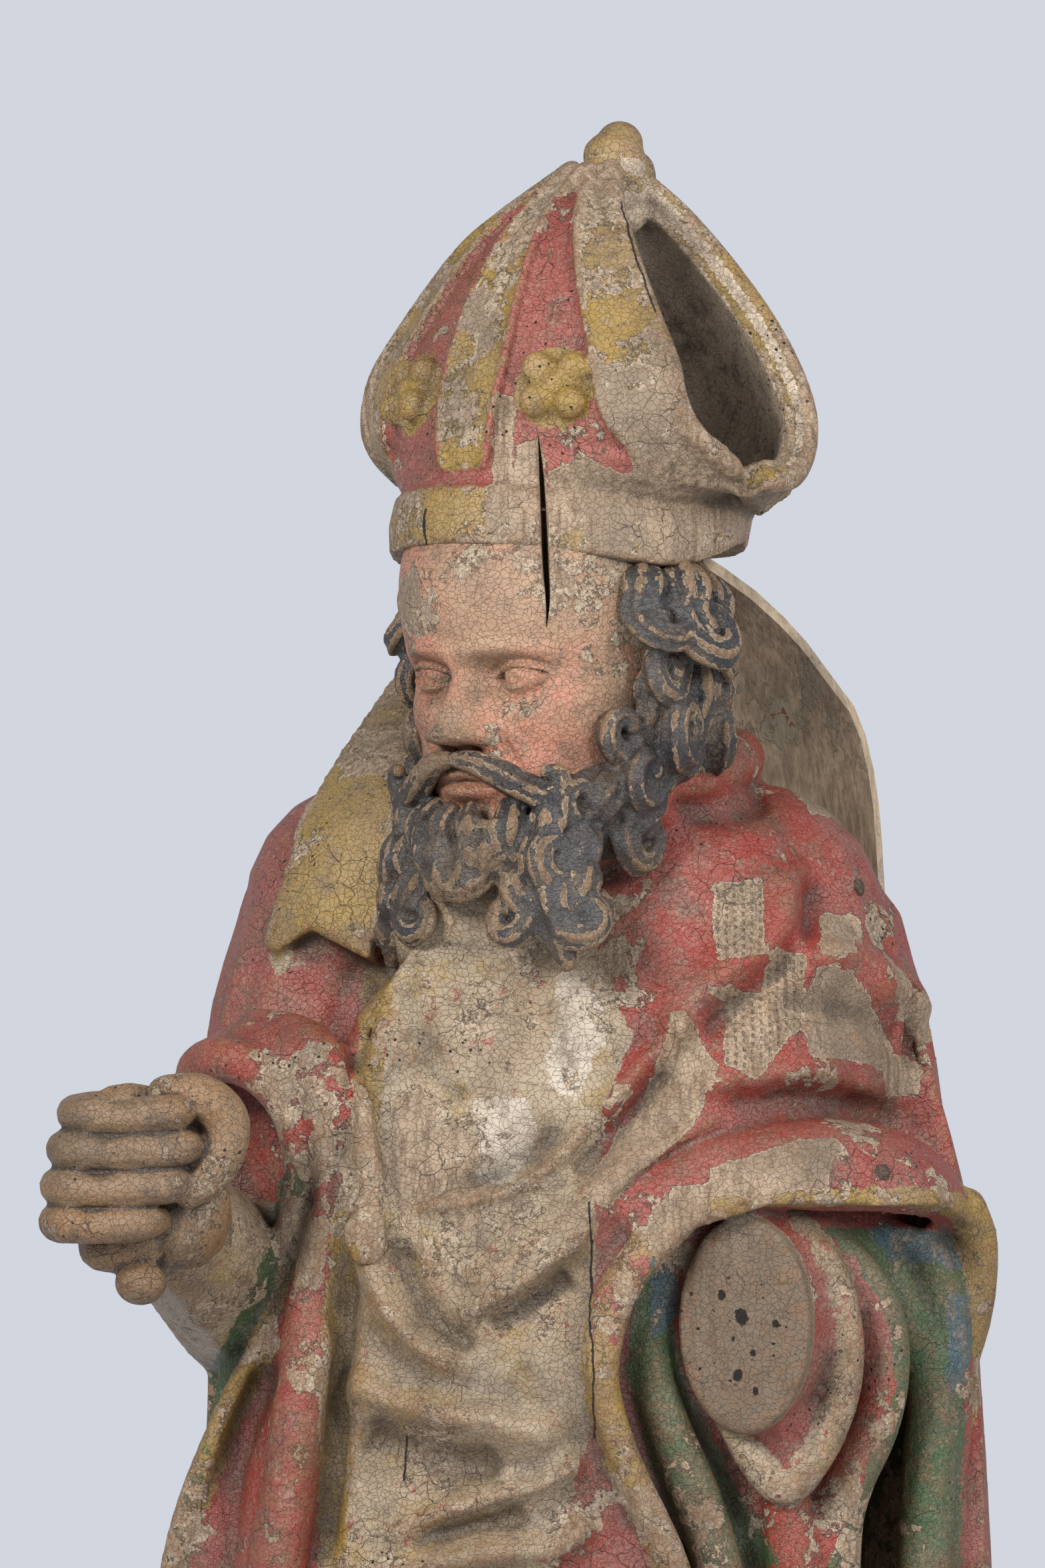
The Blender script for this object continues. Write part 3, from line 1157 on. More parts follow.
class Paint:
    """A material's node graph, written as short calls."""

    def __init__(self, name):
        self.material = bpy.data.materials.new(name)
        self.material.use_nodes = True
        self.tree = self.material.node_tree
        self.shader = self.tree.nodes["Principled BSDF"]
        place = self.tree.nodes.new("ShaderNodeTexCoord")
        self.place = place.outputs["Object"]

    def feed(self, socket, value):
        if isinstance(value, bpy.types.NodeSocket):
            self.tree.links.new(value, socket)
        elif isinstance(value, tuple) and len(value) == 3 and socket.type == "RGBA":
            socket.default_value = (*value, 1.0)
        else:
            socket.default_value = value

    def stretched(self, scale, vector=None):
        node = self.tree.nodes.new("ShaderNodeVectorMath")
        node.operation = "MULTIPLY"
        self.feed(node.inputs[0], vector or self.place)
        node.inputs[1].default_value = scale
        return node.outputs[0]

    def added(self, a, b):
        node = self.tree.nodes.new("ShaderNodeVectorMath")
        node.operation = "ADD"
        self.feed(node.inputs[0], a)
        self.feed(node.inputs[1], b)
        return node.outputs[0]

    def noise(self, scale, detail=4.0, roughness=0.6, vector=None, colour=False):
        node = self.tree.nodes.new("ShaderNodeTexNoise")
        self.feed(node.inputs["Vector"], vector or self.place)
        node.inputs["Scale"].default_value = scale
        node.inputs["Detail"].default_value = detail
        node.inputs["Roughness"].default_value = roughness
        return node.outputs["Color" if colour else "Fac"]

    def warped(self, scale, amount):
        """The place, shaken by a noise of that scale, amount in metres."""
        shake = self.noise(scale, 3.0, colour=True)
        node = self.tree.nodes.new("ShaderNodeVectorMath")
        node.operation = "MULTIPLY_ADD"
        self.feed(node.inputs[0], shake)
        node.inputs[1].default_value = (2 * amount,) * 3
        node.inputs[2].default_value = (0, 0, 0)
        return self.added(self.place, self.added(node.outputs[0], (-amount,) * 3))

    def cells(self, scale, vector, feature="F1", output="Distance"):
        node = self.tree.nodes.new("ShaderNodeTexVoronoi")
        node.feature = feature
        self.feed(node.inputs["Vector"], vector)
        node.inputs["Scale"].default_value = scale
        return node.outputs[output]

    def maths(self, operation, a, b=0.0, c=0.0):
        node = self.tree.nodes.new("ShaderNodeMath")
        node.operation = operation
        for socket, value in zip(node.inputs, (a, b, c)):
            self.feed(socket, value)
        return node.outputs[0]

    def step(self, value, low, high):
        node = self.tree.nodes.new("ShaderNodeMapRange")
        node.interpolation_type = "SMOOTHSTEP"
        self.feed(node.inputs["Value"], value)
        node.inputs["From Min"].default_value = low
        node.inputs["From Max"].default_value = high
        return node.outputs["Result"]

    def mix(self, share, a, b):
        node = self.tree.nodes.new("ShaderNodeMix")
        node.data_type = "RGBA"
        self.feed(node.inputs["Factor"], share)
        self.feed(node.inputs[6], a)
        self.feed(node.inputs[7], b)
        return node.outputs[2]

    def along(self, axis):
        """The place along one axis, in metres."""
        node = self.tree.nodes.new("ShaderNodeSeparateXYZ")
        self.feed(node.inputs[0], self.place)
        return node.outputs[axis]

    def ball(self, middle, half):
        """How deep each place lies in an ellipsoid: 1 at its middle, 0 on its skin, less outside.

        middle is its place and half its half sizes, in metres."""
        shifted = self.added(self.place, tuple(-c for c in middle))
        length = self.tree.nodes.new("ShaderNodeVectorMath")
        length.operation = "LENGTH"
        self.feed(length.inputs[0], self.stretched(tuple(1 / c for c in half), shifted))
        return self.maths("SUBTRACT", 1.0, length.outputs["Value"])

    def value(self, name):
        node = self.tree.nodes.new("ShaderNodeAttribute")
        node.attribute_name = name
        return node.outputs["Fac"]

    def dent(self, height, distance, strength=1.0, normal=None):
        node = self.tree.nodes.new("ShaderNodeBump")
        node.inputs["Strength"].default_value = strength
        node.inputs["Distance"].default_value = distance
        self.feed(node.inputs["Height"], height)
        if normal is not None:
            self.feed(node.inputs["Normal"], normal)
        return node.outputs["Normal"]


# Woods as the light and the dark of their grain, and the ground between wood and paint
WOOD = ((0.38, 0.275, 0.18), (0.18, 0.118, 0.070))
BOARD_WOOD = ((0.47, 0.36, 0.245), (0.30, 0.22, 0.14))
AGED_WOOD = (0.085, 0.062, 0.040)
GROUND = (0.42, 0.325, 0.225)
# What has gathered on the paint and in its cracks, hollows and holes
FINE_CRACK = (0.06, 0.035, 0.022)
BROAD_CRACK = (0.045, 0.028, 0.02)
FLAKE_EDGE = (0.065, 0.036, 0.02)
OLD_FILM = (0.10, 0.066, 0.038)
HAND_STAIN = (0.20, 0.095, 0.035)
GRIME = (0.045, 0.030, 0.019)
HOLE = (0.015, 0.010, 0.008)
GOUGE_BOTTOM = (0.12, 0.08, 0.05)
# How far apart the gouge marks are, in metres
GOUGE_ACROSS = 0.0050
GOUGE_UP = 0.0046
# The bare board's scraps of ground and of paint, and its dirt
SCRAP_GROUND = (0.30, 0.25, 0.175)
SCRAP_PAINT = (0.20, 0.07, 0.05)
BOARD_DIRT = (0.07, 0.05, 0.035)
# The clean and the rusted iron, and the dark and the light grain of the plinth
IRON = ((0.045, 0.035, 0.03), (0.13, 0.065, 0.035))
PLINTH_WOOD = ((0.07, 0.04, 0.025), (0.19, 0.115, 0.065))


def wood_colours(p, light, dark):
    """Upright grain, with darker pores and stains."""
    grain = p.noise(230.0, 5.0, 0.65, vector=p.stretched((1.0, 1.0, 0.05)))
    broad = p.noise(18.0, 5.0, 0.6, vector=p.stretched((1.0, 1.0, 0.35)))
    fine = p.noise(260.0, 6.0, 0.7)
    colour = p.mix(p.step(grain, 0.34, 0.62), dark, light)
    colour = p.mix(p.step(broad, 0.44, 0.66), colour, tuple(0.62 * c for c in light))
    colour = p.mix(p.maths("MULTIPLY", p.step(fine, 0.48, 0.68), 0.55), colour, tuple(0.5 * c for c in light))
    return colour, grain


def worm_holes(p):
    """Small dark exit holes, gathered in places: 1 where there is one."""
    spot = p.cells(150.0, p.warped(40.0, 0.004))
    gathered = p.step(p.noise(11.0, 2.0), 0.56, 0.62)
    return p.maths("MULTIPLY", p.maths("SUBTRACT", 1.0, p.step(spot, 0.10, 0.16)), gathered)


def splits(p):
    """The long drying cracks: 1 where one is open."""
    wander = p.maths("MULTIPLY", p.maths("SUBTRACT", p.noise(55.0, 4.0), 0.5), 6.0)
    off = p.maths("ABSOLUTE", p.maths("ADD", p.value("split"), wander))
    return p.maths("SUBTRACT", 1.0, p.step(off, 0.25, 0.8))


def gouge_marks(p):
    """Rows of short upright gouge marks: 1 at the bottom of one, inside the gouged patches."""
    swing = p.maths("MULTIPLY", p.maths("SUBTRACT", p.noise(60.0, 2.0), 0.5), 5.0)
    across = p.maths("MULTIPLY_ADD", p.along("X"), 2 * math.pi / GOUGE_ACROSS, swing)
    up = p.maths("MULTIPLY_ADD", p.along("Z"), 2 * math.pi / GOUGE_UP, p.maths("MULTIPLY", across, 0.35))
    column = p.step(p.maths("SINE", across), 0.35, 0.95)
    row = p.step(p.maths("SINE", up), -0.25, 0.65)
    where = p.step(p.value("gouged"), -1.0, 1.0)
    return p.maths("MULTIPLY", p.maths("MULTIPLY", column, row), where)


def knots(p, noise):
    """The knots and peg holes in the stump's face: 1 inside one."""
    deepest = 0.0
    for across, down, radius in KNOTS:
        middle = metres(drawn((across, down, STUMP[-1][1])))
        half = (radius * UNIT, KNOT_DEPTH, 1.4 * radius * UNIT)
        deepest = p.maths("MAXIMUM", deepest, p.ball(middle, half))
    rough = p.maths("MULTIPLY_ADD", p.maths("SUBTRACT", noise, 0.5), 2.4, deepest)
    return p.maths("MULTIPLY", p.step(rough, 0.22, 0.42), p.step(deepest, 0.0, 0.1))


def polychrome(
    name, regions, loss=0.5, wear=0.05, wood=WOOD, ground=GROUND, dirt=0.66, deep=5.0, cloth=False
):
    """Old paint over a pale ground over wood: crackled, flaked at edges, scuffed, and dirty in the hollows.

    regions are (value name or None, colour, faded colour) from the lowest to the uppermost. A higher loss
    keeps more paint, and wear is how much sooner it goes where the surface stands out. dirt is how dark the
    hollows get that are as deep as deep, in grid units. cloth adds the stump, knots and gouge marks."""
    p = Paint(name)
    crackled = p.warped(70.0, 0.005)
    ragged_place = p.warped(26.0, 0.012)
    fine_edge = p.cells(260.0, crackled, "DISTANCE_TO_EDGE")
    broad_edge = p.cells(62.0, ragged_place, "DISTANCE_TO_EDGE")
    fine_crack = p.maths("SUBTRACT", 1.0, p.step(fine_edge, 0.0, 0.06))
    broad_crack = p.maths("SUBTRACT", 1.0, p.step(broad_edge, 0.002, 0.016))
    here = p.step(p.noise(16.0, 3.0), 0.48, 0.62)
    broad_crack = p.maths("MULTIPLY", broad_crack, here)

    wood_colour, grain = wood_colours(p, *wood)
    raw = p.value("raw")
    if cloth:
        stump = p.step(p.ball(metres(STUMP[-1][:3]), STUMP_HALF), 0.0, 0.05)
        raw = p.maths("MAXIMUM", raw, stump)
        wood_colour = p.mix(p.maths("MULTIPLY", stump, 0.6), wood_colour, AGED_WOOD)
    small_flake = p.cells(130.0, crackled, "F1", "Position")
    large_flake = p.cells(42.0, ragged_place, "F1", "Position")
    small_noise = p.noise(24.0, 3.0, 0.6, vector=small_flake)
    large_noise = p.noise(8.0, 3.0, 0.6, vector=large_flake)
    edge_noise = p.noise(110.0, 6.0, 0.7)
    weak = p.maths("ADD", p.maths("MULTIPLY", small_noise, 0.40), p.maths("MULTIPLY", large_noise, 0.42))
    weak = p.maths("ADD", weak, p.maths("MULTIPLY", edge_noise, 0.18))
    worn = p.maths("MULTIPLY", p.value("ridge"), wear)
    weak = p.maths("ADD", weak, p.maths("ADD", worn, raw))
    lost = p.step(weak, loss - 0.003, loss + 0.003)
    bare = p.step(weak, loss + 0.016, loss + 0.026)
    rim = p.maths("MULTIPLY", p.step(weak, loss - 0.012, loss - 0.002), p.maths("SUBTRACT", 1.0, lost))
    rim_below = p.maths("MULTIPLY", p.maths("SUBTRACT", 1.0, p.step(weak, loss + 0.002, loss + 0.008)), lost)

    shade = p.noise(7.0, 5.0, 0.6)
    mottle = p.noise(42.0, 6.0, 0.68)
    scuffs = p.noise(330.0, 7.0, 0.78)
    colour = None
    for region, full, faded in regions:
        layer = p.mix(p.step(shade, 0.40, 0.60), full, faded)
        layer = p.mix(p.step(mottle, 0.50, 0.70), layer, tuple(0.5 * c for c in faded))
        if colour is None:
            colour = layer
            continue
        shake = p.maths("MULTIPLY", p.maths("SUBTRACT", edge_noise, 0.5), 16.0)
        ragged = p.maths("ADD", p.value(region), shake)
        colour = p.mix(p.step(ragged, -0.5, 0.5), colour, layer)
        if region == "pale":
            within = p.step(ragged, 0.0, 2.0)
            flecks = p.maths("MULTIPLY", p.step(p.noise(75.0, 7.0, 0.72), 0.625, 0.640), within)
            colour = p.mix(p.maths("MULTIPLY", flecks, 0.75), colour, RED[0])
            ochre = p.maths("MULTIPLY", p.step(p.noise(19.0, 7.0, 0.70), 0.53, 0.61), within)
            colour = p.mix(p.maths("MULTIPLY", ochre, 0.55), colour, GOLD[0])
    rubbed = p.maths("ADD", scuffs, p.maths("MULTIPLY", p.maths("SUBTRACT", mottle, 0.5), 0.5))
    colour = p.mix(p.maths("MULTIPLY", p.step(rubbed, 0.53, 0.62), 0.55), colour, wood_colour)

    scuffed_ground = p.mix(p.step(scuffs, 0.46, 0.62), ground, tuple(0.66 * c for c in ground))
    under = p.mix(bare, scuffed_ground, wood_colour)
    colour = p.mix(lost, colour, under)
    colour = p.mix(p.maths("MULTIPLY", fine_crack, 0.42), colour, FINE_CRACK)
    colour = p.mix(p.maths("MULTIPLY", broad_crack, 0.62), colour, BROAD_CRACK)
    edge_line = p.maths("MAXIMUM", p.maths("MULTIPLY", rim, 0.35), p.maths("MULTIPLY", rim_below, 0.85))
    colour = p.mix(edge_line, colour, FLAKE_EDGE)
    film = p.noise(15.0, 7.0, 0.7)
    colour = p.mix(p.maths("MULTIPLY", p.step(film, 0.46, 0.66), 0.55), colour, OLD_FILM)
    stain = p.maths("MULTIPLY", p.step(p.value("ridge"), 0.15, 0.9), p.step(edge_noise, 0.40, 0.60))
    colour = p.mix(p.maths("MULTIPLY", stain, 0.45), colour, HAND_STAIN)
    grime = p.maths("MULTIPLY", p.step(p.value("hollow"), 0.08 * deep, deep), p.step(mottle, 0.15, 0.50))
    colour = p.mix(p.maths("MULTIPLY", grime, dirt), colour, GRIME)
    holes = p.maths("MAXIMUM", worm_holes(p), splits(p))
    holes = p.maths("MAXIMUM", holes, knots(p, edge_noise)) if cloth else holes
    colour = p.mix(holes, colour, HOLE)
    marks = gouge_marks(p) if cloth else 0.0
    colour = p.mix(p.maths("MULTIPLY", marks, 0.6), colour, GOUGE_BOTTOM) if cloth else colour
    p.feed(p.shader.inputs["Base Color"], colour)

    gloss = p.maths("MULTIPLY_ADD", mottle, 0.40, 0.12)
    dull = p.maths("MAXIMUM", lost, p.step(rubbed, 0.50, 0.64))
    rough = p.maths("ADD", gloss, p.maths("MULTIPLY", dull, 0.26))
    p.feed(p.shader.inputs["Roughness"], p.maths("MAXIMUM", rough, holes))
    painted = p.maths("SUBTRACT", 1.0, lost)
    p.feed(p.shader.inputs["Coat Weight"], p.maths("MULTIPLY", painted, p.maths("MULTIPLY", mottle, 0.22)))
    p.shader.inputs["Coat Roughness"].default_value = 0.34

    height = p.maths("MULTIPLY", painted, 0.75)
    height = p.maths("SUBTRACT", height, p.maths("MULTIPLY", fine_crack, 0.25))
    height = p.maths("SUBTRACT", height, p.maths("MULTIPLY", broad_crack, 0.6))
    height = p.maths("ADD", height, p.maths("MULTIPLY", grain, 0.40))
    height = p.maths("ADD", height, p.maths("MULTIPLY", scuffs, 0.45))
    height = p.maths("SUBTRACT", height, p.maths("MULTIPLY", holes, 2.0))
    height = p.maths("SUBTRACT", height, p.maths("MULTIPLY", marks, 0.9)) if cloth else height
    normal = p.dent(height, 0.0012, 1.0)
    swell = p.dent(p.noise(45.0, 6.0, 0.65), 0.007, 0.7, normal)
    p.feed(p.shader.inputs["Normal"], swell)
    p.feed(p.shader.inputs["Coat Normal"], swell)
    return p.material


def raw_wood(name):
    """The bare board: dusty wood with scraps of ground and paint."""
    p = Paint(name)
    colour, grain = wood_colours(p, *BOARD_WOOD)
    scraps = p.noise(34.0, 7.0, 0.72, vector=p.stretched((1.0, 1.0, 0.6)))
    colour = p.mix(p.step(scraps, 0.56, 0.58), colour, SCRAP_GROUND)
    colour = p.mix(p.step(scraps, 0.66, 0.67), colour, SCRAP_PAINT)
    dirt = p.noise(9.0, 6.0, 0.65)
    colour = p.mix(p.maths("MULTIPLY", p.step(dirt, 0.44, 0.64), 0.5), colour, BOARD_DIRT)
    p.feed(p.shader.inputs["Base Color"], colour)
    p.shader.inputs["Roughness"].default_value = 0.72
    height = p.maths("MULTIPLY_ADD", p.step(scraps, 0.56, 0.58), 0.5, grain)
    p.feed(p.shader.inputs["Normal"], p.dent(height, 0.001, 0.9))
    return p.material


def rusty_iron(name):
    p = Paint(name)
    rust = p.noise(600.0, 5.0, 0.6)
    p.feed(p.shader.inputs["Base Color"], p.mix(p.step(rust, 0.4, 0.7), *IRON))
    p.shader.inputs["Roughness"].default_value = 0.7
    p.shader.inputs["Metallic"].default_value = 0.4
    p.feed(p.shader.inputs["Normal"], p.dent(rust, 0.0006, 0.8))
    return p.material


def stained_wood(name):
    p = Paint(name)
    grain = p.noise(160.0, 5.0, 0.6, vector=p.stretched((0.06, 1.0, 1.0)))
    p.feed(p.shader.inputs["Base Color"], p.mix(p.step(grain, 0.3, 0.7), *PLINTH_WOOD))
    p.shader.inputs["Roughness"].default_value = 0.55
    p.feed(p.shader.inputs["Normal"], p.dent(grain, 0.0008, 0.6))
    return p.material


def plain(name, colour, roughness):
    p = Paint(name)
    p.shader.inputs["Base Color"].default_value = (*colour, 1.0)
    p.shader.inputs["Roughness"].default_value = roughness
    return p.material


def main_body(mesh):
    """The mesh without its loose crumbs and sealed hollows."""
    count = len(mesh.vertices)
    ends = np.empty(len(mesh.edges) * 2, int)
    mesh.edges.foreach_get("vertices", ends)
    a, b = ends.reshape(-1, 2).T
    label = np.arange(count)
    while True:
        before = label.copy()
        low = np.minimum(label[a], label[b])
        np.minimum.at(label, a, low)
        np.minimum.at(label, b, low)
        label = label[label]
        if (label == before).all():
            break
    keep = np.bincount(label, minlength=count).argmax()
    if (label == keep).all():
        return mesh
    bm = bmesh.new()
    bm.from_mesh(mesh)
    bm.verts.ensure_lookup_table()
    bmesh.ops.delete(bm, geom=[bm.verts[k] for k in np.flatnonzero(label != keep)], context="VERTS")
    bm.to_mesh(mesh)
    bm.free()
    return mesh


def thinned(mesh, triangles):
    """The mesh in triangles, at most about that many."""
    obj = bpy.data.objects.new("thinning", mesh)
    bpy.context.scene.collection.objects.link(obj)
    triangulate = obj.modifiers.new("Triangles", "TRIANGULATE")
    triangulate.min_vertices = 4
    mesh = baked(obj)
    if len(mesh.polygons) <= triangles:
        return mesh
    obj = bpy.data.objects.new("thinning", mesh)
    bpy.context.scene.collection.objects.link(obj)
    decimate = obj.modifiers.new("Thin", "DECIMATE")
    decimate.ratio = triangles / len(mesh.polygons)
    return baked(obj)


def above_or_below(mesh, height, above):
    """The part of a closed mesh on one side of a level plane, closed again."""
    bm = bmesh.new()
    bm.from_mesh(mesh)
    bmesh.ops.bisect_plane(
        bm,
        geom=bm.verts[:] + bm.edges[:] + bm.faces[:],
        plane_co=(0, 0, height),
        plane_no=(0, 0, 1),
        clear_inner=above,
        clear_outer=not above,
    )
    part = bpy.data.meshes.new("half")
    bm.to_mesh(part)
    bm.free()
    return part


def capped(mesh, facing):
    """The mesh with its level opening closed by faces that look up (1) or down (-1). Its rim stays sharp."""
    bm = bmesh.new()
    bm.from_mesh(mesh)
    rim = [e for e in bm.edges if e.is_boundary]
    filled = bmesh.ops.triangle_fill(bm, edges=rim, use_beauty=True)
    for e in rim:
        e.smooth = False
    for f in filled["geom"]:
        if isinstance(f, bmesh.types.BMFace):
            f.normal_update()
            if f.normal.z * facing < 0:
                f.normal_flip()
    bm.to_mesh(mesh)
    bm.free()
    return mesh


def cut(mesh, cutter):
    """The mesh with the closed cutter taken out of it."""
    obj = bpy.data.objects.new("cutting", mesh)
    tool = bpy.data.objects.new("cutter", cutter)
    for made in (obj, tool):
        bpy.context.scene.collection.objects.link(made)
    boolean = obj.modifiers.new("Cut", "BOOLEAN")
    boolean.solver = "EXACT"
    boolean.object = tool
    mesh = baked(obj)
    bpy.data.objects.remove(tool)
    return mesh


def kept_inside(mesh):
    """Keeps every point within the CAD's own box."""
    points = np.empty(len(mesh.vertices) * 3)
    mesh.vertices.foreach_get("co", points)
    low, high = np.array(CAD_BOX[0]) + BOX_MARGIN, np.array(CAD_BOX[1]) - BOX_MARGIN
    mesh.vertices.foreach_set("co", np.clip(points.reshape(-1, 3), low, high).ravel())
    mesh.update()


def piece(name, mesh, material, node):
    """A finished piece in the scene, in place of the CAD node."""
    kept_inside(mesh)
    mesh.name = name
    mesh.polygons.foreach_set("use_smooth", np.ones(len(mesh.polygons), bool))
    mesh.materials.clear()
    mesh.materials.append(material)
    obj = bpy.data.objects.new(name, mesh)
    bpy.context.scene.collection.objects.link(obj)
    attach(obj, "root")
    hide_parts(node)
    return obj


# Paints as they are in full and where they are faded
RED = ((0.255, 0.030, 0.019), (0.26, 0.085, 0.064))
OLD_ROSE = ((0.30, 0.085, 0.062), (0.26, 0.060, 0.046))
GOLD = ((0.28, 0.175, 0.036), (0.29, 0.19, 0.080))
PALE = ((0.36, 0.28, 0.185), (0.28, 0.20, 0.12))
CHALK = ((0.50, 0.43, 0.34), (0.40, 0.33, 0.24))
GREEN = ((0.040, 0.085, 0.030), (0.085, 0.10, 0.05))
BLUE = ((0.042, 0.088, 0.100), (0.080, 0.110, 0.105))
FLESH = ((0.46, 0.185, 0.115), (0.35, 0.215, 0.13))
HAIR = ((0.018, 0.019, 0.023), (0.050, 0.046, 0.043))
HAND = ((0.235, 0.120, 0.048), (0.21, 0.13, 0.068))
DUST = ((0.62, 0.50, 0.37), (0.47, 0.37, 0.27))
# The darker wood and ground below the paint of the hair and of the hand
UNDER_DARK = {"wood": ((0.25, 0.165, 0.095), (0.11, 0.070, 0.040)), "ground": (0.30, 0.225, 0.15)}

# How much sooner the paint goes on the mitre's bands, on the gilded hems and in the main crack
BAND_WEAR = 0.075
HEM_WEAR = 0.03
CRACK_WEAR = 0.6
# The gilded hems, each with how far to its sides the gold reaches, in grid units
GOLD_HEMS = ((SLEEVE_LIP, 10), (SIDE_HEM, 14), (INNER_HEM, 12), (TURNED_BAND[3], 11))


def patch_wear(bare):
    """How much sooner the paint goes, for a signed distance into the bare patches."""
    return np.clip(0.10 + 0.03 * bare, 0, 0.6)


def make_mitre():
    clay = Clay()
    mitre_forms(clay)
    voxel, most = FINENESS["mitre"]
    mesh = thinned(clay.fused("mitre", voxel), most)
    rows = split_rows(mesh, MAIN_SPLIT, MAIN_SPLIT_DEPTH)
    mesh = cut(mesh, split_mesh("crack", rows))
    skin = Skin(mesh)
    skin.keep_relief()
    off_centre = skin.grid - MITRE.centre
    local = np.column_stack([off_centre @ axis for axis in (MITRE.forward, MITRE.left, MITRE.up)])
    gold = mitre_gold(local)
    skin.keep("gold", gold)
    outward = (skin.normals * (skin.grid - MITRE.at((0, 0, 90)))).sum(1) > 0
    inner = ~outward & (local[:, 2] > 60)
    front = skin.normals[:, 1] < 0.2
    bare = np.where(front, deepest_inside(skin.seen, MITRE_BARE_PATCHES), FAR_OUTSIDE)
    raw = np.where(gold > 0, BAND_WEAR, 0.0) + patch_wear(bare)
    raw = np.where(rosette_cover(local) > 0, -0.04, raw)
    raw = np.where(inner, -0.02, raw)
    skin.keep("inside", np.where(inner, 20.0, -60.0))
    skin.keep("raw", np.where(skin.in_crack(rows), CRACK_WEAR, raw))
    skin.keep("split", skin.split(MITRE_SPLITS))
    regions = ((None, *OLD_ROSE), ("gold", *GOLD), ("inside", *DUST))
    paint = polychrome("mitre_paint", regions, loss=0.55, wear=0.03, dirt=0.42)
    return piece("mitre", mesh, paint, "figure")


def mitre_gold(local):
    """Signed distance into the gilded bands, rosettes, brim and knob."""
    f, l, u = local.T
    gold = np.full(len(local), -60.0)
    gold = np.maximum(gold, 36 - np.abs(u - 16) * 1.0 - 18)
    gold = np.maximum(gold, u - 222)
    for horn in (FRONT_HORN, BACK_HORN):
        table = spline(horn, 64)
        half = np.interp(u, table[:, 0], table[:, 1])
        facing = f > 0 if horn is FRONT_HORN else f <= 0
        share = np.abs(l) / np.maximum(half, 1)
        v = np.interp(u, table[:, 0], np.linspace(0, 1, 64))
        side_band = (share - (0.74 - 0.2 * v)) * half
        middle_band = (0.13 + 0.12 * v - share) * half
        in_horn = np.where(facing & (u > 44), np.maximum(side_band, middle_band), -60)
        gold = np.maximum(gold, in_horn)
    return np.maximum(gold, rosette_cover(local))


def rosette_cover(local):
    """Signed distance into the nearer of the mitre's two rosettes."""
    middles = [np.array(horn_point(FRONT_HORN, 0.37, 0.46 * side)) for side in (-1, 1)]
    return np.max([25 - np.linalg.norm(local - middle, axis=1) for middle in middles], axis=0)


def make_face():
    """The face as one finely stepped skin."""
    clay = Clay()
    clay.loft(face_rings(1.1))
    mesh = thinned(clay.as_mesh("face"), FINENESS["face"][1])
    rows = split_rows(mesh, MAIN_SPLIT, MAIN_SPLIT_DEPTH)
    mesh = cut(mesh, split_mesh("crack", rows))
    skin = Skin(mesh)
    skin.keep_relief()
    barer = 0.045 * smoothstep(1436, 1452, skin.grid[:, 2])
    skin.keep("raw", np.where(skin.in_crack(rows), CRACK_WEAR, barer))
    skin.keep("split", skin.split(()))
    paint = polychrome("face_paint", ((None, *FLESH),), loss=0.52, wear=0.03)
    return piece("face", mesh, paint, "figure")


def make_hair():
    clay = Clay()
    hair_forms(clay)
    beard_forms(clay)
    clay.ball((-30, 0, 20), (82, 76, 88), frame=HEAD)
    clay.ball((-14, 0, -52), (66, 60, 62), frame=HEAD)
    clay.strand(((-6, 8, 1290, 60), (-14, -16, 1360, 56), (-24, -44, 1410, 54)))
    voxel, most = FINENESS["hair"]
    mesh = thinned(clay.fused("hair", voxel), most)
    skin = Skin(mesh)
    skin.keep_relief()
    skin.keep("raw", np.zeros(len(skin.grid)))
    skin.keep("split", skin.split(()))
    paint = polychrome("hair_paint", ((None, *HAIR),), loss=0.545, wear=0.11, **UNDER_DARK)
    return piece("hair_and_beard", mesh, paint, "figure")


def lappet_cover(grid):
    """Signed distance into the right lappet, from the middle of its two edges."""
    far, near = spline(drawn(LAPPET_FAR_EDGE), 24), spline(drawn(LAPPET_NEAR_EDGE), 24)
    cover = np.full(len(grid), FAR_OUTSIDE)
    for share in np.linspace(0.12, 0.88, 5):
        cover = np.maximum(cover, 13 - path_distance(grid, far + share * (near - far) - (0, 4, 0)))
    return cover


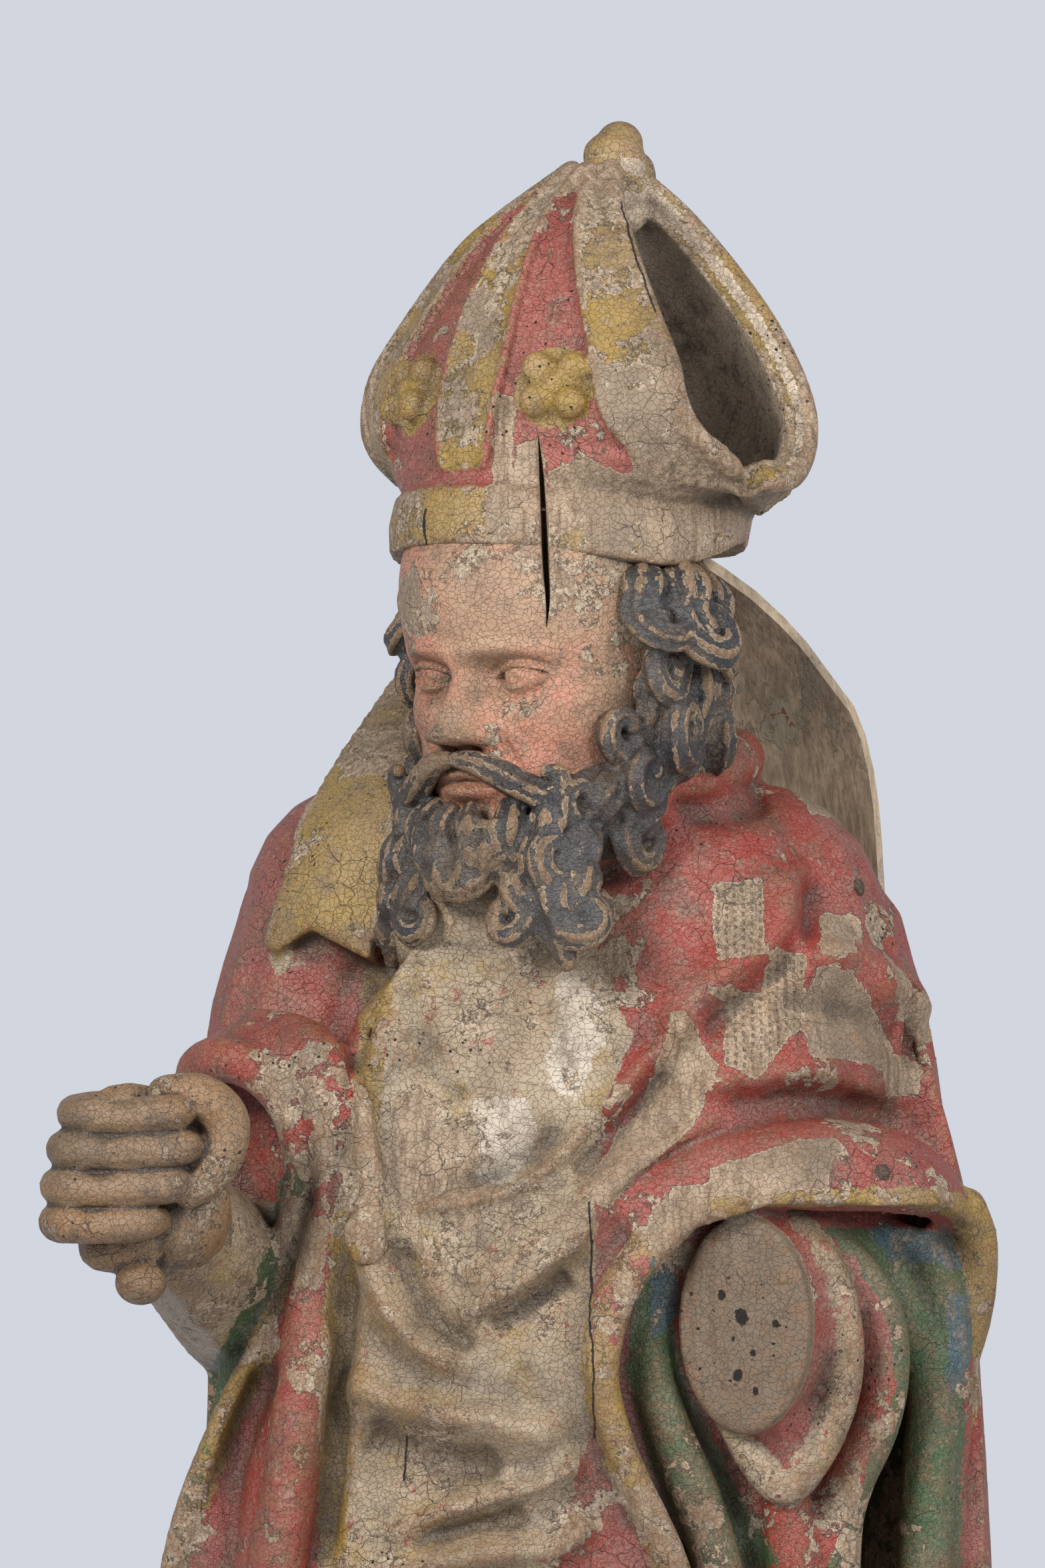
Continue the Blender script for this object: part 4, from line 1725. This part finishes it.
def vestment_values(skin):
    """Keeps the painted and worn regions of the vestment on the skin."""
    front = skin.normals[:, 1] < 0.35
    seen = skin.seen

    def within(outlines):
        return np.where(front, deepest_inside(seen, outlines), FAR_OUTSIDE)

    def beside(path, reach):
        return reach - path_distance(skin.grid, spline(drawn(path)[:, :3], 40))

    gold = np.max([beside(hem, reach) for hem, reach in GOLD_HEMS], axis=0)
    border = (22 - path_distance(seen, spline(GOLD_FRONT_LEFT, 24))) * DRAWN_UNIT
    gold = np.maximum(gold, np.where(front, border, FAR_OUTSIDE))
    lappet = lappet_cover(skin.grid)
    gold = np.maximum(gold, lappet - 5)
    strip = (24 - path_distance(seen, spline(GREEN_STRIP, 24))) * DRAWN_UNIT
    green = np.maximum(within((GREEN_INSIDE, GREEN_OUTSIDE)), np.where(front, strip, FAR_OUTSIDE))
    alb = np.where(path_distance(skin.grid, np.array([ELBOW, WRIST])) < 52, 6.0, FAR_OUTSIDE)
    pale = np.maximum(np.maximum(within((PALE_CHEST,)), alb), lappet)
    rim = beside(SLEEVE_RIM, 13)
    skin.keep("gold", gold)
    skin.keep("green", green)
    skin.keep("pale", np.maximum(pale, rim))
    skin.keep("blue", within(BLUE_PATCHES))
    skin.keep("chalk", within(CHALKY_PATCHES))
    gouged = within(GOUGED_PATCHES)
    skin.keep("gouged", gouged)
    bare = np.maximum(gouged, within(BARE_PATCHES))
    raw = np.where(gold > 0, HEM_WEAR, 0.0) + np.where(pale > 0, -0.01, 0.0) + np.where(rim > 0, 0.02, 0.0)
    skin.keep("raw", raw + patch_wear(bare))
    skin.keep("split", skin.split(VESTMENT_SPLITS))


def make_vestment():
    clay = Clay()
    for form in CLOTH_FORMS:
        form(clay)
    voxel, most = FINENESS["vestment_upper"]
    mesh = clay.fused("vestment", voxel)
    carve(mesh, CHEST_FOLDS + SHOULDER_FOLDS + LEFT_SIDE_FOLDS + KNEE_FOLDS)
    regions = (
        (None, *RED),
        ("pale", *PALE),
        ("chalk", *CHALK),
        ("green", *GREEN),
        ("blue", *BLUE),
        ("gold", *GOLD),
    )
    paint = polychrome("vestment_paint", regions, loss=0.55, wear=0.012, cloth=True)
    pieces = []
    for name, above in (("vestment_upper", True), ("vestment_lower", False)):
        half = thinned(above_or_below(mesh, WAIST_Z, above), FINENESS[name][1])
        half = capped(half, -1 if above else 1)
        skin = Skin(half)
        skin.keep_relief()
        vestment_values(skin)
        pieces.append(piece(name, half, paint, "figure"))
    return pieces


def make_hand():
    clay = Clay()
    hand_forms(clay)
    voxel, most = FINENESS["right_hand"]
    mesh = thinned(clay.fused("right_hand", voxel), most)
    skin = Skin(mesh)
    skin.keep_relief()
    skin.keep("raw", np.zeros(len(skin.grid)))
    skin.keep("split", skin.split(()))
    regions = ((None, *HAND),)
    paint = polychrome("hand_paint", regions, loss=0.56, wear=0.02, dirt=0.95, deep=1.4, **UNDER_DARK)
    return piece("carved_hand", mesh, paint, "right_hand")


FLOOR_COLOUR = (0.70, 0.71, 0.74)
SKY_COLOUR = (0.64, 0.67, 0.74)
SKY_LIGHT = 0.50
# Each soft box: its name, place, width and power. All look at one place
LAMPS = (
    ("key", (-1.5, -2.4, 2.5), 0.9, 100.0),
    ("fill", (1.7, -2.5, 2.3), 0.8, 52.0),
    ("side", (2.1, -0.7, 2.5), 0.9, 26.0),
)
LIT_PLACE = Vector((0.0, 0.0, 1.35))
SENSOR_WIDTH = 36.0


def make_studio():
    """A pale floor, three soft boxes, a pale sky and the camera where the photographer stood."""
    scene = bpy.context.scene
    bm = bmesh.new()
    bmesh.ops.create_circle(bm, cap_ends=True, segments=96, radius=4.0)
    mesh = bpy.data.meshes.new("floor")
    bm.to_mesh(mesh)
    bm.free()
    floor = bpy.data.objects.new("floor", mesh)
    scene.collection.objects.link(floor)
    mesh.materials.append(plain("pale_floor", FLOOR_COLOUR, 0.6))

    world = bpy.data.worlds.new("studio")
    world.use_nodes = True
    scene.world = world
    sky = world.node_tree.nodes["Background"]
    sky.inputs["Color"].default_value = (*SKY_COLOUR, 1.0)
    seen = world.node_tree.nodes.new("ShaderNodeLightPath").outputs["Is Camera Ray"]
    strength = world.node_tree.nodes.new("ShaderNodeMapRange")
    strength.inputs["To Min"].default_value = SKY_LIGHT
    world.node_tree.links.new(seen, strength.inputs["Value"])
    world.node_tree.links.new(strength.outputs["Result"], sky.inputs["Strength"])

    for name, spot, width, power in LAMPS:
        lamp = bpy.data.lights.new(name, "AREA")
        lamp.size = width
        lamp.energy = power
        obj = bpy.data.objects.new(name, lamp)
        obj.location = spot
        obj.rotation_euler = (LIT_PLACE - Vector(spot)).to_track_quat("-Z", "Y").to_euler()
        scene.collection.objects.link(obj)

    camera = bpy.data.cameras.new("camera")
    camera.sensor_width = SENSOR_WIDTH
    camera.lens = SENSOR_WIDTH * EYE_DISTANCE * UNIT / FRAME_HEIGHT
    obj = bpy.data.objects.new("camera", camera)
    obj.location = (EYE_X * UNIT, -EYE_DISTANCE * UNIT, EYE_Z * UNIT + SOLE_Z)
    obj.rotation_euler = (math.radians(90), 0, 0)
    scene.collection.objects.link(obj)
    scene.camera = obj
    scene.view_settings.view_transform = "Standard"


def refinish(node, material):
    """Gives a CAD node that stays its own finish."""
    obj = frame["nodes"][node]
    for k in range(max(1, len(obj.material_slots))):
        obj.material_slots[k].material = material


make_studio()
make_mitre()
make_face()
make_hair()
make_vestment()
make_hand()
bare = raw_wood("bare_board")
iron = rusty_iron("rusty_iron")
refinish("left_lappet", bare)
refinish("plinth", stained_wood("plinth_wood"))
refinish("nail_shoulder", iron)
refinish("nail_sleeve", iron)
